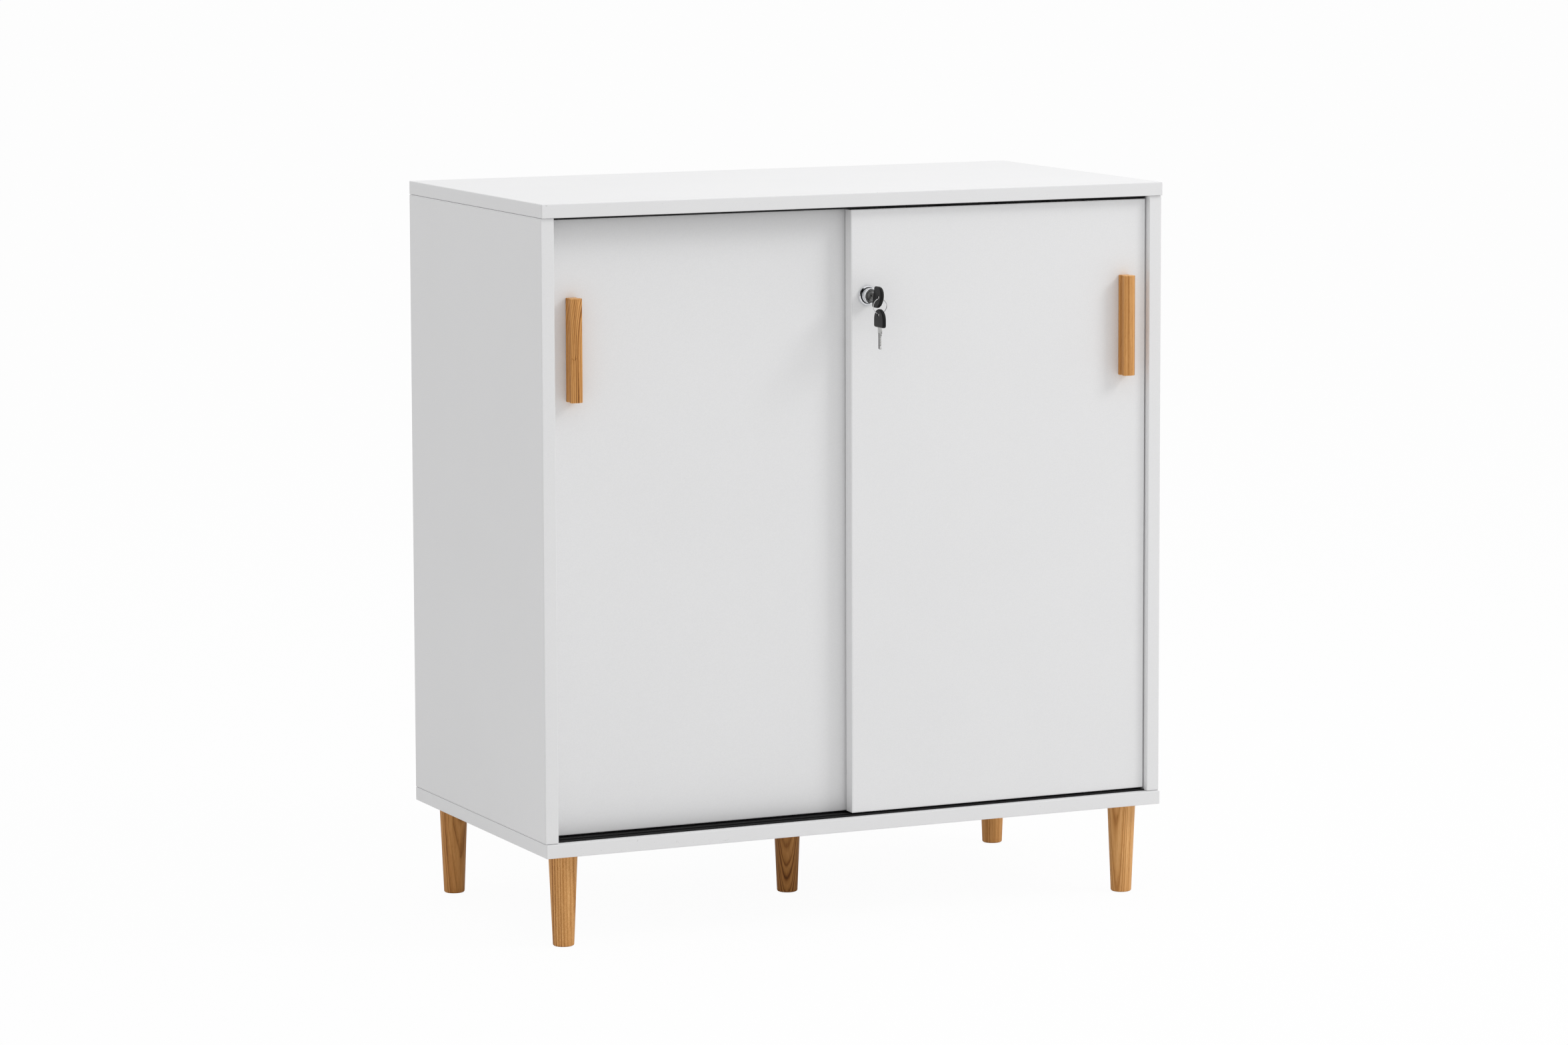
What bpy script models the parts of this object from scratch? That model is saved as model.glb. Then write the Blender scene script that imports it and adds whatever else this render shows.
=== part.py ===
"""Office cupboard with two sliding doors, on five turned wooden legs.

Metres, +Z up. The origin is on the floor at the cupboard's centre, under its middle leg.
+X is to the right and the doors face -Y. The right door runs in the front track and the
left door in the rear track.
"""

import math

import bmesh
import bpy
from mathutils import Matrix, Vector

# Overall sizes
WIDTH = 0.800
DEPTH = 0.420
LEG_HEIGHT = 0.110
CLEAR_HEIGHT = 0.722
BOARD = 0.016
BOARD_EDGE = 0.0006
SEAT = 0.0003
OVERRUN = 0.002
THIN_EDGE = 0.0003
SMOOTH_BELOW = math.radians(35)
ROUND_ABOVE = math.radians(40)

# Carcass: the sides stand a little behind the front edges of the base and the top
SIDE_SETBACK = 0.003
BACK_THICKNESS = 0.003
BACK_RECESS = 0.012
GROOVE_WEB = 0.009
GROOVE_DEPTH = BOARD - GROOVE_WEB
GROOVE_END_GAP = 0.0005

# Shelves and the pins that carry them
SHELF_DOOR_GAP = 0.020
SHELF_END_GAP = 0.0020
SHELF_BACK_GAP = 0.0015
PIN_DIAMETER = 0.005
PIN_COLLAR_DIAMETER = 0.007
PIN_COLLAR = 0.0012
PIN_WEB = 0.0015
PIN_INSERTION = BOARD / 2 - PIN_WEB
PIN_REACH = 0.0080
PIN_CHAMFER = 0.0005
PIN_EDGE_DISTANCE = 0.037
PIN_PITCH = 0.032
PIN_ROWS_EACH_WAY = 1
PIN_SIDES = 10

# Legs: axes measured in from the edges of the base
LEG_TOP_DIAMETER = 0.034
LEG_FOOT_DIAMETER = 0.025
LEG_FOOT_ROUNDING = 0.002
LEG_INSET_SIDE = 0.034
LEG_INSET_FRONT = 0.035
LEG_INSET_BACK = 0.038
LEG_TOP_CHAMFER = 0.0006
LEG_SIDES = 36
LEG_ROUNDING_STEPS = 2
STUD_DIAMETER = 0.008
STUD_IN_LEG = 0.032
STUD_COVER = 0.004
STUD_IN_BASE = BOARD - STUD_COVER
STUD_CHAMFER = 0.0010
STUD_SIDES = 12

# Doors
DOOR_THICKNESS = 0.016
DOOR_SETBACK = 0.011
DOOR_SPACING = 0.003
DOOR_OVERLAP = 0.014
DOOR_SIDE_GAP = 0.0014
DOOR_FLOOR_GAP = 0.004
DOOR_HEAD_GAP = 0.004

# Tracks, with the running ribs below and the guide channels above
TRACK_SETBACK = 0.010
TRACK_END_GAP = 0.0005
TRACK_WEB = 0.0012
TRACK_WALL = 0.0012
RIB_WIDTH = 0.0016
RIB_DOOR_GAP = 0.0010
RIB_HEIGHT = DOOR_FLOOR_GAP - RIB_DOOR_GAP
LIP_DROP = 0.0008
LIP_HEIGHT = RIB_HEIGHT - LIP_DROP
CHANNEL_CLEAR_WIDTH = 0.0070
CHANNEL_DOOR_GAP = 0.0008
CHANNEL_HEIGHT = DOOR_HEAD_GAP - CHANNEL_DOOR_GAP

# Gliders under the doors and guides on top of them
GLIDER_LENGTH = 0.036
GLIDER_CHEEK = 0.003
GLIDER_WIDTH = DOOR_THICKNESS - 2 * GLIDER_CHEEK
GLIDER_HEIGHT = 0.020
GLIDER_FOOT_WIDTH = 0.0064
GLIDER_CLEARANCE = 0.0003
GLIDER_FOOT_CLEARANCE = 0.0004
GLIDER_EDGE_DISTANCE = 0.060
GUIDE_LENGTH = 0.030
GUIDE_HEIGHT = 0.016
GUIDE_TONGUE_CLEARANCE = 0.0006

# Handles: a bar with a crowned front and a finger groove along each side
HANDLE_LENGTH = 0.120
HANDLE_WIDTH = 0.0146
HANDLE_BASE_WIDTH = 0.0136
HANDLE_DEPTH = 0.019
HANDLE_CROWN = 0.0012
HANDLE_LIP = 0.0036
HANDLE_GROOVE = 0.0021
HANDLE_GROOVE_STEPS = 8
HANDLE_CROWN_STEPS = 6
HANDLE_EDGE = 0.0008
HANDLE_FROM_SIDE = 0.031
HANDLE_FROM_TOP = 0.110
HANDLE_SCREW_SPACING = 0.096
HANDLE_SCREW_DIAMETER = 0.004
HANDLE_SCREW_IN_HANDLE = 0.0130
HANDLE_SCREW_HEAD_DIAMETER = 0.0080
HANDLE_SCREW_HEAD = 0.0022
HANDLE_SCREW_RIM = 0.0011
HANDLE_SCREW_FLAT_DIAMETER = 0.0060
HANDLE_SCREW_TIP = 0.0010
CROSS_LENGTH = 0.0040
CROSS_WIDTH = 0.0009
CROSS_DEPTH = 0.0010
SCREW_SIDES = 12

# Push lock: depths are measured out of the right door's front face
LOCK_FROM_TOP = 0.121
LOCK_SIDES = 44
LOCK_HIDDEN_SIDES = 28
LOCK_TRAVEL = 0.0090
BARREL_DIAMETER = 0.0184
BARREL_PROUD = 0.0123
BARREL_STOP_GAP = 0.0002
BARREL_CHAMFER = 0.0005
BARREL_RIM = 0.0014
ROSETTE_CLEARANCE = 0.0008
ROSETTE_FRONT_WALL = 0.0008
ROSETTE_FOOT = 0.0013
ROSETTE_RIM = 0.0010
ROSETTE_SHOULDER = 0.0005
ROSETTE_HEIGHT = 0.0034
PLUG_CLEARANCE = 0.0003
PLUG_HEAD = 0.0026
PLUG_SEAT_GAP = 0.0003
PLUG_RECESS = 0.0007
PLUG_SHANK_DIAMETER = 0.0104
PLUG_TAIL_GAP = 0.0004
HOUSING_CLEARANCE = 0.0004
HOUSING_WALL = 0.0016
HOUSING_FLANGE = 0.0018
HOUSING_FLANGE_RIM = 0.0068
BOLT_WALL = 0.0025
BOLT_CUP_ROOM = 0.0017
BOLT_CUP_END_GAP = 0.0009
BOLT_GUIDE_CLEARANCE = 0.0005
BOLT_DOOR_GAP = 0.0005
BOLT_PLAY = 0.0003
BOLT_CHAMFER = 0.0006
SMALL_SCREW_DIAMETER = 0.0030
SMALL_SCREW_HEAD_DIAMETER = 0.0052
SMALL_SCREW_HEAD = 0.0011
SMALL_SCREW_LENGTH = 0.012
SMALL_SCREW_POINT = 0.0015
SMALL_SCREW_SLOT = 0.0006
SMALL_SCREW_SLOT_DEPTH = 0.0005
SMALL_SCREW_SIDES = 12

# Keeper plate on the left door, beside which the lock's bolt lands
KEEPER_WIDTH = 0.0100
KEEPER_HEIGHT = 0.050
KEEPER_RUNNING_GAP = 0.0007
KEEPER_PLAY = 0.0006
KEEPER_SCREW_SPACING = 0.036

# Keys: a flat steel blade in a moulded bow
BOW_WIDTH = 0.0250
BOW_LENGTH = 0.0215
BOW_THICKNESS = 0.0044
BOW_STRAIGHT = 0.0090
BOW_CORNER = 0.0026
BOW_CORNER_STEPS = 3
BOW_ARCH_STEPS = 10
BOW_EDGE = 0.0009
BOW_HOLE_DIAMETER = 0.0044
BOW_HOLE_FROM_END = 0.0067
BOW_HOLE_SIDES = 12
BLADE_THICKNESS = 0.0020
BLADE_WIDTH = 0.0050
BLADE_PROJECTION = 0.0018
SHOULDER_WIDTH = 0.0086
SHOULDER_LENGTH = 0.0075
TANG_LENGTH = 0.0060
KEY_CLEARANCE = 0.0003
KEY_TILT = math.radians(8)
# Cuts along the blade: each pair is the share of the length and the share of the width cut away
BLADE_CUT_SHARES = (
    (0.16, 0.00),
    (0.22, 0.22),
    (0.28, 0.22),
    (0.33, 0.08),
    (0.39, 0.34),
    (0.45, 0.34),
    (0.50, 0.14),
    (0.56, 0.26),
    (0.61, 0.26),
    (0.67, 0.06),
    (0.73, 0.30),
    (0.79, 0.30),
    (0.86, 0.10),
)
BLADE_TIP_SHARE = 0.55

# Key ring, threaded through both bows
RING_WIRE = 0.0012
RING_PLAY = 0.0011
RING_BOW_GAP = 0.0008
RING_SIDES = 36
RING_WIRE_SIDES = 6

# Planes and centres worked out from the sizes above
FRONT = -DEPTH / 2
BACK = DEPTH / 2
SIDE = WIDTH / 2
INNER_SIDE = SIDE - BOARD
BASE_TOP = LEG_HEIGHT + BOARD
TOP_UNDER = BASE_TOP + CLEAR_HEIGHT
HEIGHT = TOP_UNDER + BOARD
BACK_FACE = BACK - BACK_RECESS
BACK_INNER_FACE = BACK_FACE - BACK_THICKNESS
RIGHT_DOOR_FRONT = FRONT + DOOR_SETBACK
RIGHT_DOOR_REAR = RIGHT_DOOR_FRONT + DOOR_THICKNESS
LEFT_DOOR_FRONT = RIGHT_DOOR_REAR + DOOR_SPACING
LEFT_DOOR_REAR = LEFT_DOOR_FRONT + DOOR_THICKNESS
RIGHT_LANE = (RIGHT_DOOR_FRONT + RIGHT_DOOR_REAR) / 2
LEFT_LANE = (LEFT_DOOR_FRONT + LEFT_DOOR_REAR) / 2
TRACK_FRONT = FRONT + TRACK_SETBACK
TRACK_REAR = LEFT_LANE + RIGHT_LANE - TRACK_FRONT
DOOR_OUTER_EDGE = INNER_SIDE - DOOR_SIDE_GAP
DOOR_INNER_EDGE = DOOR_OVERLAP / 2
DOOR_BOTTOM = BASE_TOP + DOOR_FLOOR_GAP
DOOR_TOP = TOP_UNDER - DOOR_HEAD_GAP
SHELF_FRONT = LEFT_DOOR_REAR + SHELF_DOOR_GAP
SHELF_BACK = BACK_INNER_FACE - SHELF_BACK_GAP
SHELF_BOTTOM = BASE_TOP + (CLEAR_HEIGHT - BOARD) / 2
HANDLE_CENTRE = INNER_SIDE - HANDLE_FROM_SIDE
HANDLE_TOP = HEIGHT - HANDLE_FROM_TOP
LOCK_Z = HEIGHT - LOCK_FROM_TOP
PLUG_FACE = BARREL_PROUD - PLUG_RECESS
BARREL_TAIL = DOOR_THICKNESS - HOUSING_FLANGE - LOCK_TRAVEL - BARREL_STOP_GAP
BARREL_BORE = BARREL_DIAMETER - 2 * BARREL_RIM
HOUSING_DIAMETER = BARREL_DIAMETER + 2 * (HOUSING_CLEARANCE + HOUSING_WALL)
HOUSING_FLANGE_DIAMETER = HOUSING_DIAMETER + 2 * HOUSING_FLANGE_RIM
HOUSING_SCREW_SPACING = HOUSING_DIAMETER + HOUSING_FLANGE_RIM
ROSETTE_BORE = BARREL_DIAMETER + 2 * ROSETTE_CLEARANCE
ROSETTE_FRONT_DIAMETER = ROSETTE_BORE + 2 * ROSETTE_FRONT_WALL
ROSETTE_DIAMETER = ROSETTE_FRONT_DIAMETER + 2 * ROSETTE_FOOT
BLADE_LENGTH = PLUG_FACE + BARREL_TAIL + BLADE_PROJECTION
BOLT_CUP_DIAMETER = BLADE_WIDTH + 2 * BOLT_CUP_ROOM
BOLT_DIAMETER = BOLT_CUP_DIAMETER + 2 * BOLT_WALL
BOLT_TIP = LOCK_TRAVEL - DOOR_THICKNESS - DOOR_SPACING + BOLT_DOOR_GAP
BOLT_CUP_END = PLUG_FACE - BLADE_LENGTH - BOLT_CUP_END_GAP
LOCK_X = DOOR_INNER_EDGE + BOLT_PLAY + BOLT_DIAMETER / 2
KEEPER_THICKNESS = DOOR_SPACING - SEAT - KEEPER_RUNNING_GAP
KEEPER_EDGE = LOCK_X - BOLT_DIAMETER / 2 - KEEPER_PLAY
BOW_BASE = PLUG_FACE + SHOULDER_LENGTH
HOLE_OUT = BOW_BASE + BOW_LENGTH - BOW_HOLE_FROM_END
WIRE_DROP = (BOW_HOLE_DIAMETER - RING_WIRE) / 2 - RING_PLAY
RING_DIAMETER = BOW_WIDTH / 2 + BOW_HOLE_FROM_END - 2 * WIRE_DROP + RING_BOW_GAP
RING_TOP_Z = LOCK_Z - WIRE_DROP
RING_CENTRE_Z = RING_TOP_Z - RING_DIAMETER / 2
RING_BOTTOM_Z = RING_TOP_Z - RING_DIAMETER
SPARE_HOLE_Z = RING_BOTTOM_Z - WIRE_DROP


def clear_scene():
    """Removes whatever objects the file opened with."""
    for thing in list(bpy.data.objects):
        bpy.data.objects.remove(thing, do_unlink=True)


def make_material(name, colour, roughness, metallic=0.0):
    """A plain surface finish."""
    material = bpy.data.materials.new(name)
    material.use_nodes = True
    shader = material.node_tree.nodes["Principled BSDF"]
    shader.inputs["Base Color"].default_value = (*colour, 1.0)
    shader.inputs["Roughness"].default_value = roughness
    shader.inputs["Metallic"].default_value = metallic
    material.diffuse_color = (*colour, 1.0)
    return material


class Body:
    """An empty on a joint's axis, which carries the pieces that move together."""

    def __init__(self, name, at, tilt=0.0):
        self.at = Vector(at)
        self.empty = bpy.data.objects.new(name, None)
        self.empty.location = self.at
        self.empty.rotation_euler.y = tilt
        bpy.context.collection.objects.link(self.empty)

    def carry(self, piece, at):
        """Places a piece by its point in the upright cupboard, before any tilt of this body."""
        piece.parent = self.empty
        piece.location = Vector(at) - self.at


def add_box(bm, low, high):
    """Adds a block between two corners."""
    middle = (Vector(low) + Vector(high)) / 2
    size = Vector(high) - Vector(low)
    bmesh.ops.create_cube(bm, size=1.0, matrix=Matrix.Translation(middle) @ Matrix.Diagonal((*size, 1.0)))


def add_prism(bm, axis, outline, low, high):
    """Adds an outline drawn across an axis and drawn out along it from low to high."""
    along = "XYZ".index(axis)
    across = [i for i in range(3) if i != along]
    rings = []
    for place in (low, high):
        ring = []
        for pair in outline:
            point = [0.0, 0.0, 0.0]
            point[along] = place
            point[across[0]] = pair[0]
            point[across[1]] = pair[1]
            ring.append(bm.verts.new(point))
        rings.append(ring)
    bm.faces.new(rings[0])
    bm.faces.new(reversed(rings[1]))
    for i in range(len(outline)):
        j = (i + 1) % len(outline)
        bm.faces.new((rings[0][i], rings[0][j], rings[1][j], rings[1][i]))


def add_turned(bm, profile, sides, place):
    """Adds a profile of (radius, height) pairs turned about its height.

    A profile that starts and ends on the axis closes there. Any other profile is a loop, for a tube.
    """
    rings = []
    for radius, height in profile:
        if radius == 0:
            rings.append([bm.verts.new(place @ Vector((0.0, 0.0, height)))])
            continue
        ring = []
        for i in range(sides):
            angle = math.tau * i / sides
            point = Vector((radius * math.cos(angle), radius * math.sin(angle), height))
            ring.append(bm.verts.new(place @ point))
        rings.append(ring)
    pairs = list(zip(rings, rings[1:]))
    if profile[0][0] != 0:
        pairs.append((rings[-1], rings[0]))
    for first, second in pairs:
        for i in range(sides):
            j = (i + 1) % sides
            corners = [first[i % len(first)], first[j % len(first)]]
            corners += [second[j % len(second)], second[i % len(second)]]
            bm.faces.new(list(dict.fromkeys(corners)))


def add_rod(bm, start, end, radius, sides):
    """Adds a plain round rod between two points."""
    run = Vector(end) - Vector(start)
    place = Matrix.Translation(start) @ run.to_track_quat("Z", "Y").to_matrix().to_4x4()
    add_turned(bm, ((0, 0), (radius, 0), (radius, run.length), (0, run.length)), sides, place)


def upright(x, y, z=0.0):
    """Where a turned piece stands when its axis is vertical."""
    return Matrix.Translation((x, y, z))


def out_of_door(x, y, z):
    """Where a turned piece stands when its height runs forward, out of a door's front face."""
    return Matrix.Translation((x, y, z)) @ Matrix.Rotation(math.radians(90), 4, "X")


def to_mesh(bm, name):
    """Closes off a bmesh as a mesh with its faces pointing out."""
    bmesh.ops.recalc_face_normals(bm, faces=bm.faces)
    mesh = bpy.data.meshes.new(name)
    bm.to_mesh(mesh)
    bm.free()
    return mesh


def make_piece(name, bm, origin, body, material, round_piece=False):
    """Makes a named piece from a bmesh drawn in the cupboard's own coordinates."""
    bmesh.ops.translate(bm, verts=bm.verts, vec=-Vector(origin))
    mesh = to_mesh(bm, name)
    mesh.materials.append(material)
    if round_piece:
        mesh.shade_smooth()
        mesh.set_sharp_from_angle(angle=SMOOTH_BELOW)
    piece = bpy.data.objects.new(name, mesh)
    bpy.context.collection.objects.link(piece)
    body.carry(piece, origin)
    return piece


def round_edges(piece, width, segments=2):
    """Rounds a piece's sharp edges."""
    bevel = piece.modifiers.new("edge_rounding", "BEVEL")
    bevel.width = width
    bevel.segments = segments
    bevel.limit_method = "ANGLE"
    bevel.angle_limit = ROUND_ABOVE
    bevel.use_clamp_overlap = True
    return bevel


def cut(piece, bm, body, label):
    """Cuts a shape, drawn in the cupboard's own coordinates, out of a piece."""
    cutter = bpy.data.objects.new(piece.name + "_" + label, to_mesh(bm, piece.name + "_" + label))
    bpy.context.collection.objects.link(cutter)
    cutter.hide_render = True
    cutter.display_type = "WIRE"
    body.carry(cutter, (0.0, 0.0, 0.0))
    boolean = piece.modifiers.new(label, "BOOLEAN")
    boolean.operation = "DIFFERENCE"
    boolean.solver = "EXACT"
    boolean.object = cutter


def board(name, low, high, body, material, edge=BOARD_EDGE):
    """A flat board between two corners, with its edges just broken."""
    bm = bmesh.new()
    add_box(bm, low, high)
    middle = (Vector(low) + Vector(high)) / 2
    piece = make_piece(name, bm, middle, body, material)
    round_edges(piece, edge)
    return piece


def make_carcass(body, white):
    """Base, top, sides, recessed back and the partition in the middle."""
    groove_side = INNER_SIDE + GROOVE_DEPTH
    groove_low = BASE_TOP - GROOVE_DEPTH
    groove_high = TOP_UNDER + GROOVE_DEPTH
    groove_front = BACK_INNER_FACE - SEAT
    groove_back = BACK_FACE + SEAT

    base = board("base_panel", (-SIDE, FRONT, LEG_HEIGHT), (SIDE, BACK, BASE_TOP), body, white)
    bm = bmesh.new()
    add_box(bm, (-groove_side, groove_front, groove_low), (groove_side, groove_back, BASE_TOP + OVERRUN))
    for x, y in leg_places().values():
        low = (x, y, LEG_HEIGHT - OVERRUN)
        high = (x, y, LEG_HEIGHT + STUD_IN_BASE + SEAT)
        add_rod(bm, low, high, STUD_DIAMETER / 2 + SEAT, STUD_SIDES)
    cut(base, bm, body, "grooves")

    top = board("top_panel", (-SIDE, FRONT, TOP_UNDER), (SIDE, BACK, HEIGHT), body, white)
    bm = bmesh.new()
    add_box(bm, (-groove_side, groove_front, TOP_UNDER - OVERRUN), (groove_side, groove_back, groove_high))
    cut(top, bm, body, "grooves")

    side_low = BASE_TOP + SEAT
    side_high = TOP_UNDER - SEAT
    for name, sign in (("side_panel_left", -1), ("side_panel_right", 1)):
        outer = sign * SIDE
        inner = sign * INNER_SIDE
        low = (min(outer, inner), FRONT + SIDE_SETBACK, side_low)
        high = (max(outer, inner), BACK, side_high)
        side = board(name, low, high, body, white)
        bm = bmesh.new()
        mouth = sign * (INNER_SIDE - OVERRUN)
        bottom = sign * groove_side
        cutter_low = (min(mouth, bottom), groove_front, side_low - OVERRUN)
        cutter_high = (max(mouth, bottom), groove_back, side_high + OVERRUN)
        add_box(bm, cutter_low, cutter_high)
        for y, z in pin_places(True):
            start = (sign * (INNER_SIDE - OVERRUN), y, z)
            end = (sign * (INNER_SIDE + PIN_INSERTION + SEAT), y, z)
            add_rod(bm, start, end, PIN_DIAMETER / 2 + SEAT, PIN_SIDES)
        cut(side, bm, body, "grooves")

    back_side = groove_side - GROOVE_END_GAP
    back_low = groove_low + GROOVE_END_GAP
    back_high = groove_high - GROOVE_END_GAP
    board("back_panel", (-back_side, BACK_INNER_FACE, back_low), (back_side, BACK_FACE, back_high), body, white,
          edge=THIN_EDGE)

    half = BOARD / 2
    low = (-half, SHELF_FRONT, BASE_TOP + SEAT)
    high = (half, BACK_INNER_FACE - SEAT, TOP_UNDER - SEAT)
    partition = board("centre_partition", low, high, body, white)
    bm = bmesh.new()
    for sign in (-1, 1):
        for y, z in pin_places(True):
            start = (sign * (half + OVERRUN), y, z)
            end = (sign * (half - PIN_INSERTION - SEAT), y, z)
            add_rod(bm, start, end, PIN_DIAMETER / 2 + SEAT, PIN_SIDES)
    cut(partition, bm, body, "pin_holes")


def pin_places(every_row):
    """(y, z) of the shelf pins, or of every row of holes that they can go in."""
    z = SHELF_BOTTOM - SEAT - PIN_DIAMETER / 2
    rows = range(-PIN_ROWS_EACH_WAY, PIN_ROWS_EACH_WAY + 1) if every_row else (0,)
    columns = (SHELF_FRONT + PIN_EDGE_DISTANCE, SHELF_BACK - PIN_EDGE_DISTANCE)
    return [(y, z + row * PIN_PITCH) for y in columns for row in rows]


def make_shelves(body, white, steel):
    """A shelf in each half, on four pins each."""
    top = SHELF_BOTTOM + BOARD
    outer = INNER_SIDE - SHELF_END_GAP
    inner = BOARD / 2 + SHELF_END_GAP
    board("shelf_left", (-outer, SHELF_FRONT, SHELF_BOTTOM), (-inner, SHELF_BACK, top), body, white)
    board("shelf_right", (inner, SHELF_FRONT, SHELF_BOTTOM), (outer, SHELF_BACK, top), body, white)

    radius = PIN_DIAMETER / 2
    profile = (
        (0, -PIN_INSERTION),
        (radius, -PIN_INSERTION),
        (radius, SEAT),
        (PIN_COLLAR_DIAMETER / 2, SEAT),
        (PIN_COLLAR_DIAMETER / 2, SEAT + PIN_COLLAR),
        (radius, SEAT + PIN_COLLAR),
        (radius, PIN_REACH - PIN_CHAMFER),
        (radius - PIN_CHAMFER, PIN_REACH),
        (0, PIN_REACH),
    )
    faces = (
        ("left", -INNER_SIDE, 1),
        ("left", -BOARD / 2, -1),
        ("right", BOARD / 2, 1),
        ("right", INNER_SIDE, -1),
    )
    count = {"left": 0, "right": 0}
    for half, x, facing in faces:
        for y, z in pin_places(False):
            count[half] += 1
            bm = bmesh.new()
            turn = Matrix.Rotation(math.radians(90) * facing, 4, "Y")
            add_turned(bm, profile, PIN_SIDES, Matrix.Translation((x, y, z)) @ turn)
            make_piece("shelf_pin_%s_%d" % (half, count[half]), bm, (x, y, z), body, steel, round_piece=True)


def leg_places():
    """Where the legs' axes are, seen from above."""
    x = SIDE - LEG_INSET_SIDE
    front = FRONT + LEG_INSET_FRONT
    back = BACK - LEG_INSET_BACK
    return {
        "front_left": (-x, front),
        "front_right": (x, front),
        "back_left": (-x, back),
        "back_right": (x, back),
        "centre": (0.0, 0.0),
    }


def make_legs(body, wood, steel):
    """Five tapered legs, each screwed to the base with a double-ended stud."""
    foot = LEG_FOOT_DIAMETER / 2
    hole = STUD_DIAMETER / 2 + SEAT
    leg_top = LEG_HEIGHT - SEAT
    profile = [(0, 0)]
    for step in range(LEG_ROUNDING_STEPS + 1):
        angle = math.pi / 2 * step / LEG_ROUNDING_STEPS
        profile.append((
            foot - LEG_FOOT_ROUNDING * (1 - math.sin(angle)),
            LEG_FOOT_ROUNDING * (1 - math.cos(angle)),
        ))
    profile += [
        (LEG_TOP_DIAMETER / 2, leg_top - LEG_TOP_CHAMFER),
        (LEG_TOP_DIAMETER / 2 - LEG_TOP_CHAMFER, leg_top),
        (hole, leg_top),
        (hole, leg_top - STUD_IN_LEG - SEAT),
        (0, leg_top - STUD_IN_LEG - SEAT),
    ]
    radius = STUD_DIAMETER / 2
    low = leg_top - STUD_IN_LEG
    high = LEG_HEIGHT + STUD_IN_BASE
    stud = (
        (0, low),
        (radius - STUD_CHAMFER, low),
        (radius, low + STUD_CHAMFER),
        (radius, high - STUD_CHAMFER),
        (radius - STUD_CHAMFER, high),
        (0, high),
    )
    for corner, (x, y) in leg_places().items():
        bm = bmesh.new()
        add_turned(bm, profile, LEG_SIDES, upright(x, y))
        make_piece("leg_" + corner, bm, (x, y, 0.0), body, wood, round_piece=True)
        bm = bmesh.new()
        add_turned(bm, stud, STUD_SIDES, upright(x, y))
        make_piece("leg_stud_" + corner, bm, (x, y, LEG_HEIGHT), body, steel, round_piece=True)


def make_tracks(body, plastic):
    """The lower track's running ribs and the upper track's guide channels, for both doors."""
    ends = (-INNER_SIDE + TRACK_END_GAP, INNER_SIDE - TRACK_END_GAP)
    middle = (RIGHT_LANE + LEFT_LANE) / 2

    floor = BASE_TOP + SEAT
    lip = BASE_TOP + LIP_HEIGHT
    rib = BASE_TOP + RIB_HEIGHT
    ridges = (
        (TRACK_FRONT, TRACK_FRONT + TRACK_WALL, lip),
        (RIGHT_LANE - RIB_WIDTH / 2, RIGHT_LANE + RIB_WIDTH / 2, rib),
        (middle - TRACK_WALL / 2, middle + TRACK_WALL / 2, lip),
        (LEFT_LANE - RIB_WIDTH / 2, LEFT_LANE + RIB_WIDTH / 2, rib),
        (TRACK_REAR - TRACK_WALL, TRACK_REAR, lip),
    )
    bm = bmesh.new()
    add_prism(bm, "X", track_outline(ridges, floor, BASE_TOP + TRACK_WEB), *ends)
    make_piece("lower_track", bm, (0.0, middle, floor), body, plastic)

    ceiling = TOP_UNDER - SEAT
    hem = TOP_UNDER - CHANNEL_HEIGHT
    half = CHANNEL_CLEAR_WIDTH / 2
    ridges = []
    for lane in (RIGHT_LANE, LEFT_LANE):
        ridges.append((lane - half - TRACK_WALL, lane - half, hem))
        ridges.append((lane + half, lane + half + TRACK_WALL, hem))
    bm = bmesh.new()
    add_prism(bm, "X", track_outline(ridges, ceiling, TOP_UNDER - TRACK_WEB), *ends)
    make_piece("upper_track", bm, (0.0, middle, ceiling), body, plastic)


def track_outline(ridges, seat, web):
    """A track's section: a flat web with ridges, each given by its front, its rear and its crest."""
    outline = [(TRACK_REAR, seat), (TRACK_FRONT, seat), (TRACK_FRONT, web)]
    for front, rear, crest in ridges:
        outline += [(front, web), (front, crest), (rear, crest), (rear, web)]
    outline.append((TRACK_REAR, web))
    return list(dict.fromkeys(outline))


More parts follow.
